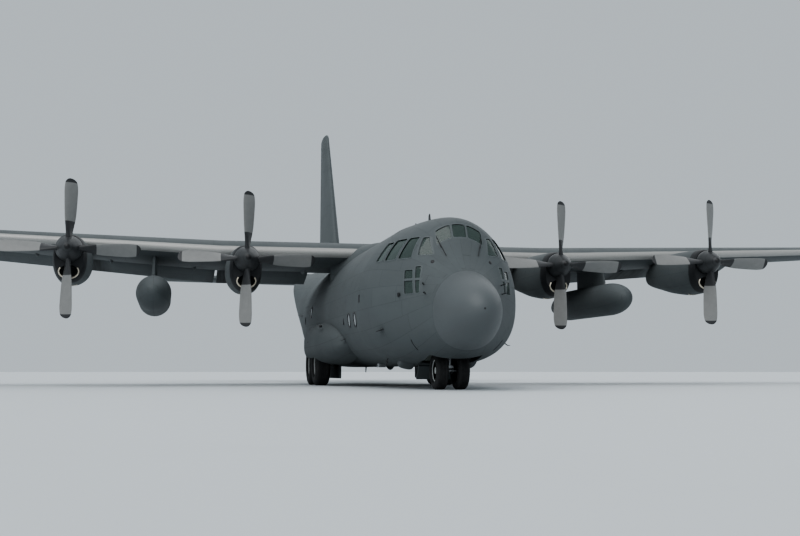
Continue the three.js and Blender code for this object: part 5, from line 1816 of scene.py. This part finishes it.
class PLANE_OT_fittings(bpy.types.Operator):
    """Builds the antennas, scoops, probes, lamps, wicks, wipers, handles and covers on the skins"""

    bl_idname = "plane.fittings"
    bl_label = "Antennas, lamps and probes"

    def execute(self, _context):
        dark, pale = coat("black_paint"), coat("cream_plastic")
        blades = [aerial(*skin_point(s, x=x), height, chord) for s, x, height, chord in BELLY_AERIALS]
        for s, height, chord in ROOF_AERIALS:
            blades.append(aerial(np.array((0.0, s, body_at(s)[1])), UP, height, chord))
        for sign in SIDES.values():
            for s, z in ((8.3, 1.45), (17.9, 2.6)):
                blades.append(aerial(*skin_point(s, z=z, side=sign), 0.16, 0.2))
        blades.append(aerial(*skin_point(3.57, z=1.57, side=-1), 0.2, 0.24))
        add_piece("aerials", joined(*blades), dark)
        add_piece("belly_scoops", both(scoop()), radome_material("radome_paint"), sharp=25)

        lenses = [disc(*skin_point(s, x=x), radius, 0.02) for s, x, radius in CREAM_DISCS]
        add_piece("belly_discs", joined(*lenses), pale)
        spots = [skin_point(s, z=z, side=sign) for s, z, sign in SIDE_PORTS]
        rims = [collar(*skin_point(s, x=x), radius + 0.012) for s, x, radius in CREAM_DISCS]
        add_piece("port_rims", joined(*rims, *(collar(*spot, 0.2) for spot in spots)), dark)
        ports = [disc(*spot, 0.19, 0.008) for spot in spots]
        add_piece("side_ports", joined(*ports), coat("port_glass"))

        knob = disc(*skin_point(11.3, x=0.0), 0.13, 0.11)
        dome = disc(np.array((0.0, 14.1, 4.74)), UP, 0.42, 0.16)
        hatches = [plate_on_roof(s) for s in (5.0, 15.6)]
        add_piece("domes_and_hatches", joined(knob, dome, *hatches), skin_material())

        strobe = disc(*skin_point(8.73, x=0.0), 0.06, 0.07)
        beacon = disc(np.array((0.0, 27.6, 4.9)), UP, 0.07, 0.1)
        glass = lamp("strobe_glass", (1.0, 0.42, 0.2), 2.5)
        add_piece("strobes", joined(strobe, beacon), glass)
        tip = wing_section(19.9)["lead"] + (0.0, 0.34, 0.02)
        for side, colour in (("port", (0.75, 0.02, 0.015)), ("starboard", (0.01, 0.5, 0.12))):
            middle, reach = tip * (SIDES[side], 1.0, 1.0), (0.1, 0.16, 0.035)
            lens = cushion(middle - reach, middle + reach, 0.8)
            glass = lamp(f"{side}_lamp_glass", colour, 0.5)
            add_piece(f"wing_tip_lamp_{side}", lens, glass)
        tail = cushion((-0.06, 29.66, 4.5), (0.06, 29.785, 4.62), 0.8)
        glass = lamp("lamp_glass", (0.3, 0.32, 0.32), 0.0)
        add_piece("white_lamps", joined(tail, both(landing_lamp())), glass)

        probes = both(*(probe(s, z) for s, z in NOSE_PROBES))
        rods = joined(probes, probe(3.99, 1.23), both(wiper()), both(belly_strip()))
        add_piece("probes_and_wipers", rods, dark)
        vents = [disc(*skin_point(2.11, z=3.24, side=sign), 0.05, 0.012) for sign in SIDES.values()]
        # The side openings are black pads of painted shade, not holes; the round nose vents are small dark
        # domes.
        add_piece("nose_vents", joined(*vents, *(vent_shade_pad(*row) for row in SIDE_VENT_SHADE_PADS)), dark)
        for body, sides, section_of, places in WICKS:
            wicks = [on_side(wick(section_of(x)), side) for side in sides for x in places]
            add_piece(f"static_wicks_{body}", joined(*wicks), dark, body=body)

        add_piece("flap_track_covers", both(*map(hinge_cover, FLAP_TRACKS)), wing_material())
        # Black pads of painted shade stand for the vents' openings on the sponsons.
        add_piece("sponson_vents", both(drain_shade_pad(10.2, 1.9), drain_shade_pad(12.3, 1.45)), dark)
        foot = skin_point(4.75, z=1.75)[0]
        bar = block(foot + (-0.02, -0.02, -0.02), foot + (0.022, 0.2, 0.02))
        add_piece("crew_door_handle", bar, coat("gear_steel"), body="crew_door")
        return {"FINISHED"}


# Aerials: station, distance to port for the belly's, height, chord
BELLY_AERIALS = [
    (5.0, -1.34, 0.12, 0.18),
    (5.97, -1.16, 0.14, 0.26),
    (6.19, 1.25, 0.14, 0.26),
    (15.9, 0.0, 0.2, 0.28),
]
ROOF_AERIALS = [(5.6, 0.34, 0.36), (7.4, 0.3, 0.3), (9.0, 0.22, 0.3), (19.0, 0.3, 0.34)]
CREAM_DISCS = [(6.01, 0.46, 0.075), (6.01, -0.46, 0.075), (5.53, 0.0, 0.06), (7.79, 0.0, 0.13)]
SIDE_PORTS = [(5.72, 1.92, -1), (6.7, 1.94, -1), (6.4, 2.1, 1), (15.2, 2.6, 1), (15.2, 2.6, -1)]
# Probes ahead of the lower cockpit windows: station, height
NOSE_PROBES = [(2.01, 2.65), (1.9, 2.42)]
# Black pads of painted shade where openings are in the sides: station, height, half length, half height, side
SIDE_VENT_SHADE_PADS = [(2.71, 2.43, 0.11, 0.05, -1), (4.95, 2.46, 0.04, 0.11, -1), (7.73, 1.95, 0.04, 0.1, -1)]
FLAP_TRACKS = (2.6, 5.2, 6.4, 9.2, 11.6, 13.6)
SCOOP = {"x": 0.88, "front": 4.46, "rear": 4.84, "half_width": 0.215, "depth": 0.15}
WICKS = (
    ("aileron_port", ["port"], wing_section, (18.2, 18.9, 19.45)),
    ("aileron_starboard", ["starboard"], wing_section, (18.2, 18.9, 19.45)),
    ("elevators", ["port", "starboard"], tail_section, (6.5, 7.0, 7.5)),
)


def aerial(foot, normal, height, chord):
    """A swept blade that stands on the skin: foil sections that shrink as they leave it."""
    rings, outline, side = [], foil_outline(0.14, 0.0, 8), unit(np.cross(normal, AFT))
    for share in (-0.1, 0.0, 0.5, 0.9, 1.0):
        size = chord * (1 - 0.45 * max(share, 0.0)) * (0.6 if share == 1.0 else 1.0)
        lead = foot + normal * height * share + AFT * chord * (0.35 * share - 0.5)
        rings.append(lead + outline[:, :1] * size * AFT + outline[:, 1:] * size * side)
    return closed_loft(rings)


def disc(foot, normal, radius, height):
    """A low dome: its height falls with the square of the distance from its middle."""
    reach = np.sqrt(np.linspace(0.0, 1.0, 9))[::-1]
    profile = np.column_stack([height * (1 - reach**2), np.maximum(radius * reach, 0.002)])
    return lathe(np.concatenate([[(-0.05, radius)], profile]), foot, normal, 32)


def collar(foot, normal, radius):
    """A flat ring round a port."""
    across = unit(np.cross(normal, AFT))
    loop = circles(foot[None], across[None], np.cross(normal, across)[None], radius, 40)
    return ring_tube(loop[0], 0.016, 10)


def scoop():
    """An air outlet under the belly: a ramp that leaves the skin going aft, and is open behind.

    Its depth grows with the sine of the share of its length, and its corners are round.
    """
    share = np.linspace(0, 1, 14)
    stations = SCOOP["front"] + (SCOOP["rear"] - SCOOP["front"]) * share
    depth = SCOOP["depth"] * np.sin(share * np.pi / 2)
    angle = np.linspace(0, np.pi, 21)

    def rings(inset):
        half = SCOOP["half_width"] * (0.8 + 0.2 * np.sqrt(share)) - inset
        x = SCOOP["x"] + half[:, None] * signed_power(np.cos(angle), 0.6)
        width, _top, middle, bottom, square = monotone(BODY, stations, np.sqrt).T[:, :, None]
        skin = middle - (middle - bottom) * (1 - (x / width) ** square) ** (1 / square)
        z = skin - np.maximum(depth[:, None] - inset, 0.0) * np.sin(angle) ** 0.45
        lower = stacked(x, stations[:, None], z)
        upper = lower[:, ::-1][:, 1:-1].copy()
        upper[..., 2] = skin[:, ::-1][:, 1:-1] + 0.04 - inset
        return np.concatenate([lower, upper], axis=1)

    return closed_shell(rings(0.0), rings(0.018))


def belly_strip():
    """A thin dark strip that slants over the skin behind the radome."""
    shares = np.linspace(0, 1, 12)
    return rod([skin_point(2.59 + 0.13 * share, z=1.28 - 0.26 * share)[0] for share in shares], 0.012, 8)


def vent_shade_pad(station, z, half_length, half_height, side):
    """A small opening, drawn as a flat black pad on the skin: painted shade for its dark inside."""
    foot, _normal = skin_point(station, z=z, side=side)
    reach = np.array((0.02, half_length, half_height))
    return cushion(foot - reach, foot + reach, 0.4)


def plate_on_roof(station):
    """A hatch cover that lies on the roof: a shallow slice of a slightly larger body."""
    upper = body_rings(np.linspace(station, station + 0.75, 8), -0.008)
    outer = upper[:, BODY_POINTS // 4 - 9 : BODY_POINTS // 4 + 9]
    return closed_loft(np.concatenate([outer, outer[:, ::-1] - (0.0, 0.0, 0.05)], axis=1))


def underside(section, u):
    """The point of a section's lower skin at a place along its chord."""
    return place(section, foil_points(u, section["thickness"], section["camber"], -1))[0]


def landing_lamp():
    """A round lamp sunk into the wing's underside."""
    return disc(underside(wing_section(12.2), 0.2), np.array((0.0, -0.15, -0.99)), 0.15, 0.03)


def probe(station, z):
    """A short strut that leaves the nose's skin and bends forward into a tube."""
    foot, normal = skin_point(station, z=z)
    out = foot + normal * 0.1
    path = [foot - normal * 0.03, foot + normal * 0.07, out - (0.0, 0.04, 0.0), out - (0.0, 0.2, 0.0)]
    return rod(path, [0.016, 0.013, 0.01, 0.007], 16)


def wiper():
    """A wiper arm that leads to a blade beside the windscreen's outer post."""
    low, high = windscreen_point(0.52, 3.62), windscreen_point(0.59, 3.92)
    arm = rod([windscreen_point(0.42, 3.4), (low + high) / 2 + (0.0, -0.012, 0.0)], 0.009, 10)
    return joined(arm, rod([low, high], 0.008, 10))


def windscreen_point(x, z):
    """Where a line straight aft meets the sloping front, a little proud of it."""
    stations = np.linspace(1.7, 2.9, 60)
    width, top, middle, _bottom, _square = monotone(BODY, stations, np.sqrt).T
    inside = 1 - (x / width) ** 2
    height = middle + (top - middle) * np.sqrt(np.maximum(inside, 0))
    station = stations[int(np.argmax(height > z))]
    return np.array((x, station - 0.03, z))


def wick(section):
    """A thin rod that trails from a surface's rear edge."""
    end = place(section, [(0.995, foil_camber(0.995, section["camber"]))])[0]
    return rod([end, end + (0.0, 0.16, 0.0)], [0.008, 0.004], 8)


def hinge_cover(x):
    """A slender pod under the wing ahead of the flap: half sizes follow the sine of its length's share."""
    section, rings = wing_section(x), []
    for share in np.linspace(0.02, 0.98, 20):
        centre, size = underside(section, 0.44 + 0.26 * share), math.sin(math.pi * share) ** 0.6
        rings.append(np.insert(oval(centre[::2], 0.055 * size, 0.11 * size, 20), 1, centre[1], axis=1))
    return closed_loft(rings)


def drain_shade_pad(station, z):
    """A small vent on a sponson's side, drawn as a black pad: painted shade for its opening."""
    outer = np.interp(station, *np.array(SPONSON)[:, :2].T)
    foot = np.array((outer - 0.035, station, z))
    return cushion(foot - (0.05, 0.12, 0.04), foot + (0.05, 0.12, 0.04), 0.7)


class PLANE_OT_stage(bpy.types.Operator):
    """Builds the floor, the light and the camera"""

    bl_idname = "plane.stage"
    bl_label = "Studio and camera"

    def execute(self, context):
        radius, angle = np.linspace(0.5, 160.0, 24)[::-1, None], turn_steps(96)[None, :]
        points = stacked(radius * np.cos(angle), radius * np.sin(angle), 0.0).reshape(-1, 3)
        faces = grid_faces(24, 96) + [list(range(23 * 96, 24 * 96))]
        mesh = bpy.data.meshes.new("floor")
        mesh.from_pydata(points.tolist(), [], faces)
        floor = bpy.data.objects.new("floor", mesh)
        context.scene.collection.objects.link(floor)
        paint = coated("floor_paint", tuple(colours().floor), 0.7, wear=0.03, bumpy=0.02, scale=2.0)
        mesh.materials.append(paint)

        world = bpy.data.worlds.new("studio")
        world.use_nodes = True
        background = world.node_tree.nodes["Background"]
        background.inputs["Color"].default_value = (0.69, 0.76, 0.81, 1.0)
        background.inputs["Strength"].default_value = 0.7
        context.scene.view_settings.look = "AgX - Medium High Contrast"
        context.scene.world = world
        for name, place, spread, power in (
            ("key_light", (-7.0, -8.0, 12.0), 64.0, 1.8),
            ("rear_light", (5.0, 9.0, 8.0), 70.0, 0.6),
        ):
            add_light(name, place, spread, power)
        add_camera(context)
        return {"FINISHED"}


def add_light(name, place, spread, power):
    """A soft lamp that shines evenly over the floor, from a direction and as wide as an angle."""
    light = bpy.data.lights.new(name, "SUN")
    light.angle = math.radians(spread)
    light.energy = power
    made = bpy.data.objects.new(name, light)
    made.location = place
    made.rotation_euler = (-Vector(place)).to_track_quat("-Z", "Y").to_euler()
    bpy.context.scene.collection.objects.link(made)


def add_camera(context):
    """Looks at the wing from ahead, at the photograph's angle to the side, from near the floor."""
    azimuth = sizes().camera_azimuth
    aim = Vector((0.25, -1.4, 2.0))
    distance = sizes().camera_distance
    place = aim - Vector((-math.sin(azimuth), math.cos(azimuth), 0.0)) * distance
    place.z = sizes().camera_height
    camera = bpy.data.cameras.new("camera")
    camera.lens = 50.0
    camera.sensor_width = 36.0
    camera.clip_end = 500.0
    made = bpy.data.objects.new("camera", camera)
    made.location = place
    made.rotation_euler = (aim - place).to_track_quat("-Z", "Y").to_euler()
    context.scene.collection.objects.link(made)
    context.scene.camera = made


OPERATORS = (
    PLANE_OT_body,
    PLANE_OT_glazing,
    PLANE_OT_wing,
    PLANE_OT_tail,
    PLANE_OT_engines,
    PLANE_OT_tanks,
    PLANE_OT_gear,
    PLANE_OT_interior,
    PLANE_OT_fittings,
    PLANE_OT_stage,
)


class PLANE_PT_panel(bpy.types.Panel):
    """Lists the sizes, the colours and the operators"""

    bl_idname = "PLANE_PT_panel"
    bl_label = "Transport plane"
    bl_space_type = "VIEW_3D"
    bl_region_type = "UI"
    bl_category = "Plane"

    def draw(self, context):
        for group in (context.scene.plane_sizes, context.scene.plane_colours):
            for name in group.__annotations__:
                self.layout.prop(group, name)
        for operator in OPERATORS:
            self.layout.operator(operator.bl_idname)


CLASSES = (PlaneSizes, PlaneColours, *OPERATORS, PLANE_PT_panel)


def register():
    for each in CLASSES:
        bpy.utils.register_class(each)
    bpy.types.Scene.plane_sizes = PointerProperty(type=PlaneSizes)
    bpy.types.Scene.plane_colours = PointerProperty(type=PlaneColours)


def unregister():
    del bpy.types.Scene.plane_colours
    del bpy.types.Scene.plane_sizes
    for each in reversed(CLASSES):
        bpy.utils.unregister_class(each)


def main():
    register()
    for operator in OPERATORS:
        group, name = operator.bl_idname.split(".")
        getattr(getattr(bpy.ops, group), name)()
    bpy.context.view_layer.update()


if __name__ == "__main__":
    main()
